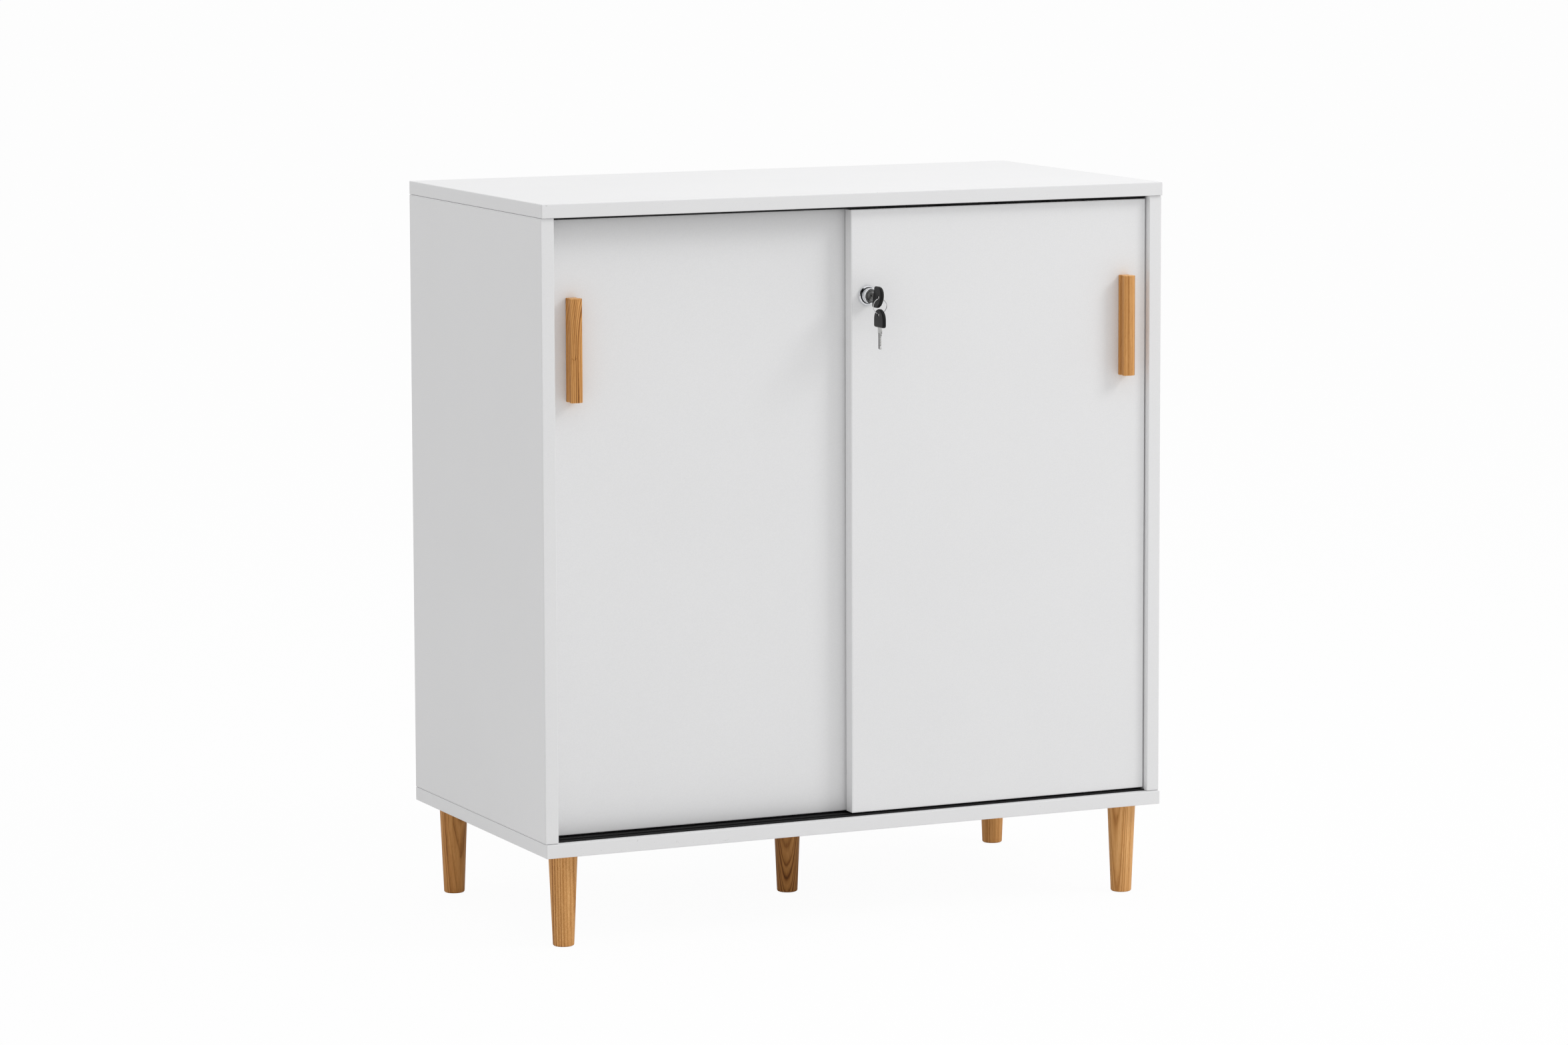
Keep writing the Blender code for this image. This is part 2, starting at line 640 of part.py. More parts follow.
def make_door_fittings(side, lane, body, plastic):
    """Two gliders and two guides of one door, let into its bottom and top edges."""
    foot = BASE_TOP + TRACK_WEB + GLIDER_FOOT_CLEARANCE
    fork = BASE_TOP + RIB_HEIGHT + GLIDER_CLEARANCE
    fork_half = RIB_WIDTH / 2 + GLIDER_CLEARANCE
    foot_half = GLIDER_FOOT_WIDTH / 2
    body_half = GLIDER_WIDTH / 2
    head = DOOR_BOTTOM + GLIDER_HEIGHT
    glider = [
        (lane - foot_half, foot),
        (lane - fork_half, foot),
        (lane - fork_half, fork),
        (lane + fork_half, fork),
        (lane + fork_half, foot),
        (lane + foot_half, foot),
        (lane + foot_half, DOOR_BOTTOM + SEAT),
        (lane + body_half, DOOR_BOTTOM + SEAT),
        (lane + body_half, head),
        (lane - body_half, head),
        (lane - body_half, DOOR_BOTTOM + SEAT),
        (lane - foot_half, DOOR_BOTTOM + SEAT),
    ]
    tongue_half = CHANNEL_CLEAR_WIDTH / 2 - GUIDE_TONGUE_CLEARANCE
    tongue_top = TOP_UNDER - TRACK_WEB - GLIDER_CLEARANCE
    shelf = DOOR_TOP - SEAT
    heel = DOOR_TOP - GUIDE_HEIGHT
    guide = [
        (lane - body_half, heel),
        (lane + body_half, heel),
        (lane + body_half, shelf),
        (lane + tongue_half, shelf),
        (lane + tongue_half, tongue_top),
        (lane - tongue_half, tongue_top),
        (lane - tongue_half, shelf),
        (lane - body_half, shelf),
    ]
    for number, x in enumerate(fitting_places(side), start=1):
        bm = bmesh.new()
        add_prism(bm, "X", glider, x - GLIDER_LENGTH / 2, x + GLIDER_LENGTH / 2)
        make_piece("door_glider_%s_%d" % (side, number), bm, (x, lane, DOOR_BOTTOM), body, plastic)
        bm = bmesh.new()
        add_prism(bm, "X", guide, x - GUIDE_LENGTH / 2, x + GUIDE_LENGTH / 2)
        make_piece("top_guide_%s_%d" % (side, number), bm, (x, lane, DOOR_TOP), body, plastic)


def door_edges(side):
    """A door's left and right edges at rest, closed."""
    if side == "left":
        return -DOOR_OUTER_EDGE, DOOR_INNER_EDGE
    return -DOOR_INNER_EDGE, DOOR_OUTER_EDGE


def fitting_places(side):
    """Where along a door its gliders and guides are."""
    low, high = door_edges(side)
    return low + GLIDER_EDGE_DISTANCE, high - GLIDER_EDGE_DISTANCE


def handle_x(side):
    """The middle of a door's handle."""
    return -HANDLE_CENTRE if side == "left" else HANDLE_CENTRE


def handle_screw_heights():
    """The heights of the two screws that hold a handle."""
    middle = HANDLE_TOP - HANDLE_LENGTH / 2
    return middle - HANDLE_SCREW_SPACING / 2, middle + HANDLE_SCREW_SPACING / 2


def make_door(side, front, body, white):
    """A door's board, with pockets for its fittings and holes for its handle's screws."""
    low_x, high_x = door_edges(side)
    rear = front + DOOR_THICKNESS
    lane = (front + rear) / 2
    door = board(side + "_door_panel", (low_x, front, DOOR_BOTTOM), (high_x, rear, DOOR_TOP), body, white)
    bm = bmesh.new()
    pocket = GLIDER_WIDTH / 2 + SEAT
    for x in fitting_places(side):
        half = GLIDER_LENGTH / 2 + SEAT
        low = (x - half, lane - pocket, DOOR_BOTTOM - OVERRUN)
        high = (x + half, lane + pocket, DOOR_BOTTOM + GLIDER_HEIGHT + SEAT)
        add_box(bm, low, high)
        half = GUIDE_LENGTH / 2 + SEAT
        low = (x - half, lane - pocket, DOOR_TOP - GUIDE_HEIGHT - SEAT)
        high = (x + half, lane + pocket, DOOR_TOP + OVERRUN)
        add_box(bm, low, high)
    for z in handle_screw_heights():
        start = (handle_x(side), front - OVERRUN, z)
        end = (handle_x(side), rear + OVERRUN, z)
        add_rod(bm, start, end, HANDLE_SCREW_DIAMETER / 2 + SEAT, SCREW_SIDES)
    cut(door, bm, body, "pockets")
    return door


def handle_outline(x, door_front):
    """A handle's section seen from above: rear face on the door, a groove each side, a crowned front."""
    half = []
    groove_end = HANDLE_DEPTH - HANDLE_LIP - HANDLE_CROWN
    for step in range(HANDLE_GROOVE_STEPS + 1):
        share = step / HANDLE_GROOVE_STEPS
        width = HANDLE_BASE_WIDTH + (HANDLE_WIDTH - HANDLE_BASE_WIDTH) * share
        dip = HANDLE_GROOVE * math.sin(math.pi * share) ** 2
        half.append((width / 2 - dip, SEAT + (groove_end - SEAT) * share))
    rim = HANDLE_DEPTH - HANDLE_CROWN
    for step in range(HANDLE_CROWN_STEPS):
        share = step / HANDLE_CROWN_STEPS
        across = HANDLE_WIDTH / 2 * (1 - share)
        half.append((across, rim + HANDLE_CROWN * (1 - (1 - share) ** 2)))
    crown = [(0.0, HANDLE_DEPTH)]
    mirrored = [(-across, out) for across, out in reversed(half)]
    return [(x + across, door_front - out) for across, out in half + crown + mirrored]


def make_handle(side, door_front, body, wood, steel):
    """A wooden bar handle and the two screws that hold it through the door."""
    x = handle_x(side)
    bottom = HANDLE_TOP - HANDLE_LENGTH
    bm = bmesh.new()
    add_prism(bm, "Z", handle_outline(x, door_front), bottom, HANDLE_TOP)
    handle = make_piece("handle_" + side, bm, (x, door_front, bottom), body, wood, round_piece=True)
    round_edges(handle, HANDLE_EDGE)
    bm = bmesh.new()
    for z in handle_screw_heights():
        start = (x, door_front + OVERRUN, z)
        end = (x, door_front - HANDLE_SCREW_IN_HANDLE - SEAT, z)
        add_rod(bm, start, end, HANDLE_SCREW_DIAMETER / 2 + SEAT, SCREW_SIDES)
    cut(handle, bm, body, "screw_holes")

    radius = HANDLE_SCREW_DIAMETER / 2
    head = HANDLE_SCREW_HEAD_DIAMETER / 2
    under_head = -DOOR_THICKNESS - SEAT
    profile = (
        (0, under_head - HANDLE_SCREW_HEAD),
        (HANDLE_SCREW_FLAT_DIAMETER / 2, under_head - HANDLE_SCREW_HEAD),
        (head, under_head - HANDLE_SCREW_RIM),
        (head, under_head),
        (radius, under_head),
        (radius, HANDLE_SCREW_IN_HANDLE - HANDLE_SCREW_TIP),
        (radius - HANDLE_SCREW_TIP, HANDLE_SCREW_IN_HANDLE),
        (0, HANDLE_SCREW_IN_HANDLE),
    )
    for number, z in enumerate(handle_screw_heights(), start=1):
        bm = bmesh.new()
        add_turned(bm, profile, SCREW_SIDES, out_of_door(x, door_front, z))
        name = "handle_screw_%s_%d" % (side, number)
        screw = make_piece(name, bm, (x, door_front, z), body, steel, round_piece=True)
        face = door_front + DOOR_THICKNESS + SEAT + HANDLE_SCREW_HEAD
        arms = (("cross_a", CROSS_LENGTH, CROSS_WIDTH), ("cross_b", CROSS_WIDTH, CROSS_LENGTH))
        for label, long_x, long_z in arms:
            bm = bmesh.new()
            low = (x - long_x / 2, face - CROSS_DEPTH, z - long_z / 2)
            high = (x + long_x / 2, face + OVERRUN, z + long_z / 2)
            add_box(bm, low, high)
            cut(screw, bm, body, label)


def countersunk_screw(name, x, face, z, facing, body, steel):
    """A slotted countersunk screw, its head flush with a face that looks along +Y or -Y."""
    radius = SMALL_SCREW_DIAMETER / 2
    head = SMALL_SCREW_HEAD_DIAMETER / 2
    profile = (
        (0, 0),
        (head, 0),
        (radius, -SMALL_SCREW_HEAD),
        (radius, SMALL_SCREW_POINT - SMALL_SCREW_LENGTH),
        (0, -SMALL_SCREW_LENGTH),
    )
    turn = Matrix.Rotation(math.radians(90) * facing, 4, "X")
    bm = bmesh.new()
    add_turned(bm, profile, SMALL_SCREW_SIDES, Matrix.Translation((x, face, z)) @ turn)
    screw = make_piece(name, bm, (x, face, z), body, steel, round_piece=True)
    bm = bmesh.new()
    depth = face + facing * SMALL_SCREW_SLOT_DEPTH
    over = face - facing * OVERRUN
    low = (x - head, min(depth, over), z - SMALL_SCREW_SLOT / 2)
    high = (x + head, max(depth, over), z + SMALL_SCREW_SLOT / 2)
    add_box(bm, low, high)
    cut(screw, bm, body, "slot")


def add_screw_clearance(bm, x, face, z, facing):
    """Adds the shape of the countersunk hole that a small screw goes in."""
    radius = SMALL_SCREW_DIAMETER / 2 + SEAT
    head = SMALL_SCREW_HEAD_DIAMETER / 2 + SEAT
    profile = (
        (0, OVERRUN),
        (head, OVERRUN),
        (head, 0),
        (radius, -SMALL_SCREW_HEAD - SEAT),
        (radius, -SMALL_SCREW_LENGTH - SEAT),
        (0, -SMALL_SCREW_LENGTH - SEAT),
    )
    turn = Matrix.Rotation(math.radians(90) * facing, 4, "X")
    add_turned(bm, profile, SMALL_SCREW_SIDES, Matrix.Translation((x, face, z)) @ turn)


def make_lock(door, door_body, barrel_body, chrome, steel):
    """The push lock's fixed parts in the right door, and the barrel and bolt that slide in them."""
    at = (LOCK_X, RIGHT_DOOR_FRONT, LOCK_Z)
    screw_heights = (LOCK_Z - HOUSING_SCREW_SPACING / 2, LOCK_Z + HOUSING_SCREW_SPACING / 2)
    flange_front = RIGHT_DOOR_REAR - HOUSING_FLANGE

    bm = bmesh.new()
    add_rod(bm, (LOCK_X, RIGHT_DOOR_FRONT - OVERRUN, LOCK_Z), (LOCK_X, RIGHT_DOOR_REAR + OVERRUN, LOCK_Z),
            HOUSING_DIAMETER / 2 + SEAT, LOCK_HIDDEN_SIDES)
    cut(door, bm, door_body, "lock_hole")
    bm = bmesh.new()
    add_rod(bm, (LOCK_X, flange_front - SEAT, LOCK_Z), (LOCK_X, RIGHT_DOOR_REAR + OVERRUN, LOCK_Z),
            HOUSING_FLANGE_DIAMETER / 2 + SEAT, LOCK_HIDDEN_SIDES)
    cut(door, bm, door_body, "lock_recess")
    bm = bmesh.new()
    for z in screw_heights:
        add_screw_clearance(bm, LOCK_X, RIGHT_DOOR_REAR, z, -1)
    cut(door, bm, door_body, "lock_screw_holes")

    rim = ROSETTE_DIAMETER / 2
    rosette = (
        (ROSETTE_BORE / 2, SEAT),
        (rim, SEAT),
        (rim, SEAT + ROSETTE_RIM),
        (rim - ROSETTE_SHOULDER, SEAT + ROSETTE_RIM + ROSETTE_SHOULDER),
        (ROSETTE_FRONT_DIAMETER / 2, ROSETTE_HEIGHT),
        (ROSETTE_BORE / 2, ROSETTE_HEIGHT),
    )
    bm = bmesh.new()
    add_turned(bm, rosette, LOCK_SIDES, out_of_door(*at))
    make_piece("lock_rosette", bm, at, door_body, chrome, round_piece=True)

    bore = BARREL_DIAMETER / 2 + HOUSING_CLEARANCE
    wall = HOUSING_DIAMETER / 2
    flange = HOUSING_FLANGE_DIAMETER / 2
    bolt_bore = BOLT_DIAMETER / 2 + BOLT_GUIDE_CLEARANCE
    rear = -DOOR_THICKNESS
    shell = (
        (bore, 0),
        (wall, 0),
        (wall, rear + HOUSING_FLANGE),
        (flange, rear + HOUSING_FLANGE),
        (flange, rear),
        (bolt_bore, rear),
        (bolt_bore, rear + HOUSING_FLANGE),
        (bore, rear + HOUSING_FLANGE),
    )
    bm = bmesh.new()
    add_turned(bm, shell, LOCK_HIDDEN_SIDES, out_of_door(*at))
    housing = make_piece("lock_housing", bm, at, door_body, steel, round_piece=True)
    bm = bmesh.new()
    for z in screw_heights:
        add_screw_clearance(bm, LOCK_X, RIGHT_DOOR_REAR, z, -1)
    cut(housing, bm, door_body, "screw_holes")
    for number, z in enumerate(screw_heights, start=1):
        countersunk_screw("lock_screw_%d" % number, LOCK_X, RIGHT_DOOR_REAR, z, -1, door_body, steel)

    outer = BARREL_DIAMETER / 2
    plug_bore = PLUG_SHANK_DIAMETER / 2 + PLUG_CLEARANCE
    counterbore_end = PLUG_FACE - PLUG_HEAD - PLUG_SEAT_GAP
    barrel = (
        (plug_bore, -BARREL_TAIL),
        (outer - BARREL_CHAMFER, -BARREL_TAIL),
        (outer, -BARREL_TAIL + BARREL_CHAMFER),
        (outer, BARREL_PROUD - BARREL_CHAMFER),
        (outer - BARREL_CHAMFER, BARREL_PROUD),
        (BARREL_BORE / 2, BARREL_PROUD),
        (BARREL_BORE / 2, counterbore_end),
        (plug_bore, counterbore_end),
    )
    bm = bmesh.new()
    add_turned(bm, barrel, LOCK_SIDES, out_of_door(*at))
    make_piece("lock_barrel", bm, at, barrel_body, chrome, round_piece=True)

    nose = BOLT_DIAMETER / 2
    seat = -BARREL_TAIL - SEAT
    bolt = (
        (0, BOLT_TIP),
        (nose - BOLT_CHAMFER, BOLT_TIP),
        (nose, BOLT_TIP + BOLT_CHAMFER),
        (nose, seat),
        (BOLT_CUP_DIAMETER / 2, seat),
        (BOLT_CUP_DIAMETER / 2, BOLT_CUP_END),
        (0, BOLT_CUP_END),
    )
    bm = bmesh.new()
    add_turned(bm, bolt, LOCK_HIDDEN_SIDES, out_of_door(*at))
    make_piece("lock_bolt", bm, at, barrel_body, steel, round_piece=True)


def make_plug(body, chrome):
    """The plug that the key turns, with its keyway."""
    at = (LOCK_X, RIGHT_DOOR_FRONT, LOCK_Z)
    head = BARREL_BORE / 2 - PLUG_CLEARANCE
    shank = PLUG_SHANK_DIAMETER / 2
    tail = -BARREL_TAIL + PLUG_TAIL_GAP
    profile = (
        (0, tail),
        (shank, tail),
        (shank, PLUG_FACE - PLUG_HEAD),
        (head, PLUG_FACE - PLUG_HEAD),
        (head, PLUG_FACE),
        (0, PLUG_FACE),
    )
    bm = bmesh.new()
    add_turned(bm, profile, LOCK_SIDES, out_of_door(*at))
    plug = make_piece("lock_plug", bm, at, body, chrome, round_piece=True)
    bm = bmesh.new()
    half = BLADE_THICKNESS / 2 + KEY_CLEARANCE
    tall = BLADE_WIDTH / 2 + KEY_CLEARANCE
    low = (LOCK_X - half, RIGHT_DOOR_FRONT - PLUG_FACE - OVERRUN, LOCK_Z - tall)
    high = (LOCK_X + half, RIGHT_DOOR_FRONT - tail + OVERRUN, LOCK_Z + tall)
    add_box(bm, low, high)
    cut(plug, bm, body, "keyway")


def bow_outline():
    """The bow as (distance from its base, distance across): rounded corners and an arched end."""
    half = BOW_WIDTH / 2
    corner = []
    for step in range(BOW_CORNER_STEPS + 1):
        angle = math.pi / 2 * step / BOW_CORNER_STEPS
        along = BOW_CORNER * (1 - math.cos(angle))
        corner.append((along, half - BOW_CORNER * (1 - math.sin(angle))))
    arch = []
    for step in range(BOW_ARCH_STEPS + 1):
        angle = math.pi * step / BOW_ARCH_STEPS
        along = BOW_STRAIGHT + (BOW_LENGTH - BOW_STRAIGHT) * math.sin(angle)
        arch.append((along, half * math.cos(angle)))
    return corner + arch + [(along, -across) for along, across in reversed(corner)]


def blade_outline():
    """The steel as (distance from its tip, distance across): tang and shoulder, then the cut blade."""
    half = BLADE_WIDTH / 2
    shoulder = SHOULDER_WIDTH / 2
    tang_end = BLADE_LENGTH + SHOULDER_LENGTH + TANG_LENGTH
    tip_half = half * BLADE_TIP_SHARE
    points = [
        (0.0, tip_half),
        (half - tip_half, half),
        (BLADE_LENGTH, half),
        (BLADE_LENGTH, shoulder),
        (tang_end, shoulder),
        (tang_end, -shoulder),
        (BLADE_LENGTH, -shoulder),
        (BLADE_LENGTH, -half),
    ]
    for along_share, cut_share in BLADE_CUT_SHARES:
        points.append((BLADE_LENGTH * (1 - along_share), -half + BLADE_WIDTH * cut_share))
    points += [(half - tip_half, -half), (0.0, -tip_half)]
    return points


def make_key(name, body, place, bow_material, steel, origin):
    """A key's bow and blade. place turns (along the key from its tip, across it) into (y, z)."""
    x = LOCK_X
    blade_end = BLADE_LENGTH + SHOULDER_LENGTH
    bm = bmesh.new()
    outline = [place(along, across) for along, across in blade_outline()]
    add_prism(bm, "X", outline, x - BLADE_THICKNESS / 2, x + BLADE_THICKNESS / 2)
    make_piece(name + "_blade", bm, origin, body, steel)

    bm = bmesh.new()
    outline = [place(blade_end + along, across) for along, across in bow_outline()]
    add_prism(bm, "X", outline, x - BOW_THICKNESS / 2, x + BOW_THICKNESS / 2)
    bow = make_piece(name + "_bow", bm, origin, body, bow_material, round_piece=True)
    round_edges(bow, BOW_EDGE)

    slot_half = SHOULDER_WIDTH / 2 + KEY_CLEARANCE
    slot_thick = BLADE_THICKNESS / 2 + KEY_CLEARANCE
    slot_end = blade_end + TANG_LENGTH + KEY_CLEARANCE
    corners = [place(blade_end - OVERRUN, -slot_half), place(slot_end, slot_half)]
    bm = bmesh.new()
    low = (x - slot_thick, min(c[0] for c in corners), min(c[1] for c in corners))
    high = (x + slot_thick, max(c[0] for c in corners), max(c[1] for c in corners))
    add_box(bm, low, high)
    cut(bow, bm, body, "tang_slot")
    bm = bmesh.new()
    y, z = place(blade_end + BOW_LENGTH - BOW_HOLE_FROM_END, 0.0)
    add_rod(bm, (x - BOW_THICKNESS, y, z), (x + BOW_THICKNESS, y, z), BOW_HOLE_DIAMETER / 2, BOW_HOLE_SIDES)
    cut(bow, bm, body, "ring_hole")


def inserted_place(along, across):
    """The inserted key lies along Y, its tip inside the lock."""
    tip = PLUG_FACE - BLADE_LENGTH
    return RIGHT_DOOR_FRONT - (tip + along), LOCK_Z + across


def spare_place(along, across):
    """The spare key hangs tip down from the ring, across the same plane."""
    length = BLADE_LENGTH + SHOULDER_LENGTH + BOW_LENGTH - BOW_HOLE_FROM_END
    return RIGHT_DOOR_FRONT - HOLE_OUT + across, SPARE_HOLE_Z - length + along


def make_ring(body, steel):
    """The wire ring through both bows."""
    bm = bmesh.new()
    circle = []
    for i in range(RING_WIRE_SIDES):
        angle = math.tau * i / RING_WIRE_SIDES
        circle.append((RING_DIAMETER / 2 + RING_WIRE / 2 * math.cos(angle), RING_WIRE / 2 * math.sin(angle)))
    centre = (LOCK_X, RIGHT_DOOR_FRONT - HOLE_OUT, RING_CENTRE_Z)
    add_turned(bm, circle, RING_SIDES, out_of_door(*centre))
    make_piece("key_ring", bm, centre, body, steel, round_piece=True)


def make_keeper(body, steel):
    """The thin plate on the left door's front face that the lock's bolt lands beside."""
    low_x = KEEPER_EDGE - KEEPER_WIDTH
    x = KEEPER_EDGE - KEEPER_WIDTH / 2
    front = LEFT_DOOR_FRONT - SEAT - KEEPER_THICKNESS
    low = (low_x, front, LOCK_Z - KEEPER_HEIGHT / 2)
    high = (KEEPER_EDGE, LEFT_DOOR_FRONT - SEAT, LOCK_Z + KEEPER_HEIGHT / 2)
    keeper = board("lock_keeper", low, high, body, steel, edge=THIN_EDGE)
    bm = bmesh.new()
    for number, z in enumerate((LOCK_Z - KEEPER_SCREW_SPACING / 2, LOCK_Z + KEEPER_SCREW_SPACING / 2), start=1):
        add_screw_clearance(bm, x, front, z, 1)
        countersunk_screw("keeper_screw_%d" % number, x, front, z, 1, body, steel)
    cut(keeper, bm, body, "screw_holes")


def cut_keeper_holes(door, body):
    """The pilot holes for the keeper's screws in the left door."""
    x = KEEPER_EDGE - KEEPER_WIDTH / 2
    front = LEFT_DOOR_FRONT - SEAT - KEEPER_THICKNESS
    bm = bmesh.new()
    for z in (LOCK_Z - KEEPER_SCREW_SPACING / 2, LOCK_Z + KEEPER_SCREW_SPACING / 2):
        add_screw_clearance(bm, x, front, z, 1)
    cut(door, bm, body, "keeper_holes")


def make_cupboard():
    """Makes every piece on the body that carries it."""
    clear_scene()
    white = make_material("white_board", (0.80, 0.80, 0.80), 0.45)
    plastic = make_material("black_plastic", (0.02, 0.02, 0.02), 0.4)
    wood = make_material("oiled_ash", (0.56, 0.32, 0.12), 0.5)
    chrome = make_material("chrome", (0.80, 0.80, 0.82), 0.12, 1.0)
    steel = make_material("zinc_plated_steel", (0.62, 0.62, 0.64), 0.3, 1.0)

    lock_axis = (LOCK_X, RIGHT_DOOR_FRONT, LOCK_Z)
    carcass = Body("carcass", (0.0, 0.0, 0.0))
    left_door = Body("left_door", (sum(door_edges("left")) / 2, LEFT_LANE, DOOR_BOTTOM))
    right_door = Body("right_door", (sum(door_edges("right")) / 2, RIGHT_LANE, DOOR_BOTTOM))
    barrel = Body("lock_slide", lock_axis)
    plug = Body("key_turn", lock_axis, KEY_TILT)
    ring = Body("ring_swing", (LOCK_X, RIGHT_DOOR_FRONT - HOLE_OUT, RING_TOP_Z))
    spare = Body("spare_key_hang", (LOCK_X, RIGHT_DOOR_FRONT - HOLE_OUT, RING_CENTRE_Z))

    make_carcass(carcass, white)
    make_shelves(carcass, white, steel)
    make_legs(carcass, wood, steel)
    make_tracks(carcass, plastic)

    left_panel = make_door("left", LEFT_DOOR_FRONT, left_door, white)
    make_door_fittings("left", LEFT_LANE, left_door, plastic)
    make_handle("left", LEFT_DOOR_FRONT, left_door, wood, steel)
    make_keeper(left_door, steel)
    cut_keeper_holes(left_panel, left_door)

    right_panel = make_door("right", RIGHT_DOOR_FRONT, right_door, white)
    make_door_fittings("right", RIGHT_LANE, right_door, plastic)
    make_handle("right", RIGHT_DOOR_FRONT, right_door, wood, steel)
    make_lock(right_panel, right_door, barrel, chrome, steel)

    make_plug(plug, chrome)
    make_key("key", plug, inserted_place, plastic, steel, lock_axis)
    make_ring(ring, steel)
    make_key("spare_key", spare, spare_place, plastic, steel, tuple(spare.at))


make_cupboard()
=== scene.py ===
import math

import bmesh
import bpy
from mathutils import Matrix, Vector


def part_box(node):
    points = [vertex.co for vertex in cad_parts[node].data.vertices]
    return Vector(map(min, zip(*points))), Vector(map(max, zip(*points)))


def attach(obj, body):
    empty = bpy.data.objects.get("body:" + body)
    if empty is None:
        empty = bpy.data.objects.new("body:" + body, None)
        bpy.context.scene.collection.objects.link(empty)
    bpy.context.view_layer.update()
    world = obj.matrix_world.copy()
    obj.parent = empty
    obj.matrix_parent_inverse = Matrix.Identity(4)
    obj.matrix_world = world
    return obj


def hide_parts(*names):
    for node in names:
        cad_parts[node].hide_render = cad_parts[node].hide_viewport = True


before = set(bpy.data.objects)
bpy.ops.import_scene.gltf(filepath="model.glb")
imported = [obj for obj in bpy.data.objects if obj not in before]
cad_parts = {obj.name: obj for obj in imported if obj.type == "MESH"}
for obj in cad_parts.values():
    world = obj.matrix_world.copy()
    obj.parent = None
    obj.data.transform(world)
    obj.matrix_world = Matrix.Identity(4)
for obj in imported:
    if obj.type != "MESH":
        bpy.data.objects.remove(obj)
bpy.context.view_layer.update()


# Base board: 16 mm chipboard faced with white melamine. Its edges are banded with white
# plastic 1 mm thick, and the arrises are rounded over. The legs are screwed up into it,
# and the back panel stands in the groove that runs along its top.
EDGE_BAND = 0.0010
EDGE_ROUNDING = 0.0009
EDGE_SEGMENTS = 3
SEAM_WIDTH = 0.00018
SEAM_DEPTH = 0.00005
GROOVE_DEPTH = 0.007
OVERRUN = 0.002
SMOOTH_BELOW = math.radians(38)
LEVEL_WITH_FACE = 0.999
WHITE_FACE = (0.83, 0.83, 0.835)
WHITE_BAND = (0.82, 0.82, 0.825)
SEAM_GREY = (0.60, 0.60, 0.60)
PEARL_SCALE = 720.0
PEARL_SHADE = 0.120
CLOUD_SCALE = 9.0
CLOUD_SHADE = 0.024
BAND_BRIGHTNESS = 0.995
BAND_GRAIN_SCALE = 800.0
BAND_GRAIN_SHADE = 0.060
BAND_ROUGHNESS = 0.37
BAND_BUMP = 0.00002
ROUGHNESS_SPAN = 0.10
SEAM_SHADE = 0.20
SCUFF_SHADE = 0.16
SCUFF_SCALE = 260.0
SCUFF_STRETCH = (1.0, 1.0, 1.6)
SCUFFS_ABOVE = 0.755
SCUFFED_PATCH_SCALE = 14.0
SCUFFED_PATCHES_ABOVE = 0.56


class Link:
    """One output of a node, which sums, products and comparisons can be written with."""

    def __init__(self, nodes, socket):
        self.nodes = nodes
        self.socket = socket

    def maths(self, operation, first, second=0.0):
        return self.nodes.node("ShaderNodeMath", {"operation": operation}, {0: first, 1: second})

    def __add__(self, other):
        return self.maths("ADD", self, other)

    def __sub__(self, other):
        return self.maths("SUBTRACT", self, other)

    def __rsub__(self, other):
        return self.maths("SUBTRACT", other, self)

    def __mul__(self, other):
        return self.maths("MULTIPLY", self, other)

    def __truediv__(self, other):
        return self.maths("DIVIDE", self, other)

    def __gt__(self, other):
        return self.maths("GREATER_THAN", self, other)

    def __lt__(self, other):
        return self.maths("LESS_THAN", self, other)

    def __mod__(self, other):
        return self.maths("FLOORED_MODULO", self, other)

    def __abs__(self):
        return self.maths("ABSOLUTE", self)

    def at_least(self, limit):
        return self.maths("MAXIMUM", self, limit)

    __radd__ = __add__
    __rmul__ = __mul__


class Nodes:
    """A tree of nodes, in which a node is added by its kind, settings and sockets."""

    def __init__(self, tree):
        self.tree = tree

    def node(self, kind, settings, sockets, output=0):
        node = self.tree.nodes.new(kind)
        for name, value in settings.items():
            if name == "stops":
                marks = node.color_ramp.elements
                while len(marks) < len(value):
                    marks.new(0.5)
                for mark, (place, colour) in zip(marks, value):
                    mark.position = place
                    mark.color = (*colour, 1.0)
            else:
                setattr(node, name, value)
        for name, value in sockets.items():
            self.join(node.inputs[name], value)
        return Link(self, node.outputs[output])

    def join(self, socket, value):
        if isinstance(value, Link):
            self.tree.links.new(value.socket, socket)
        elif socket.type == "RGBA":
            socket.default_value = (*value, 1.0)
        else:
            socket.default_value = value


class Finish(Nodes):
    """One finish of the cupboard: a material around the Principled shader."""

    def __init__(self, name, plain):
        self.material = bpy.data.materials.new(name)
        self.material.use_nodes = True
        super().__init__(self.material.node_tree)
        self.shader = self.tree.nodes["Principled BSDF"]
        for socket, value in plain.items():
            self.feed(socket, value)

    def feed(self, name, value):
        self.join(self.shader.inputs[name], value)

    def vector(self, operation, first, second, output=0):
        sockets = {0: first, 1: second}
        return self.node("ShaderNodeVectorMath", {"operation": operation}, sockets, output)

    def length(self, vector):
        return self.node("ShaderNodeVectorMath", {"operation": "LENGTH"}, {0: vector}, "Value")

    def tint(self, colour, share):
        """A colour made lighter or darker by a share that changes over the surface."""
        sockets = {0: colour, "Scale": share}
        return self.node("ShaderNodeVectorMath", {"operation": "SCALE"}, sockets)

    def place(self, stretch=(1.0, 1.0, 1.0)):
        """The point on the piece, in metres, with each axis stretched or squeezed."""
        return self.vector("MULTIPLY", self.node("ShaderNodeTexCoord", {}, {}, "Object"), stretch)

    def noise(self, place, scale, detail=2.0, roughness=0.5):
        sockets = {"Vector": place, "Scale": scale, "Detail": detail, "Roughness": roughness}
        return self.node("ShaderNodeTexNoise", {}, sockets)

    def bump(self, height, distance):
        sockets = {"Distance": distance, "Height": height}
        self.feed("Normal", self.node("ShaderNodeBump", {}, sockets))


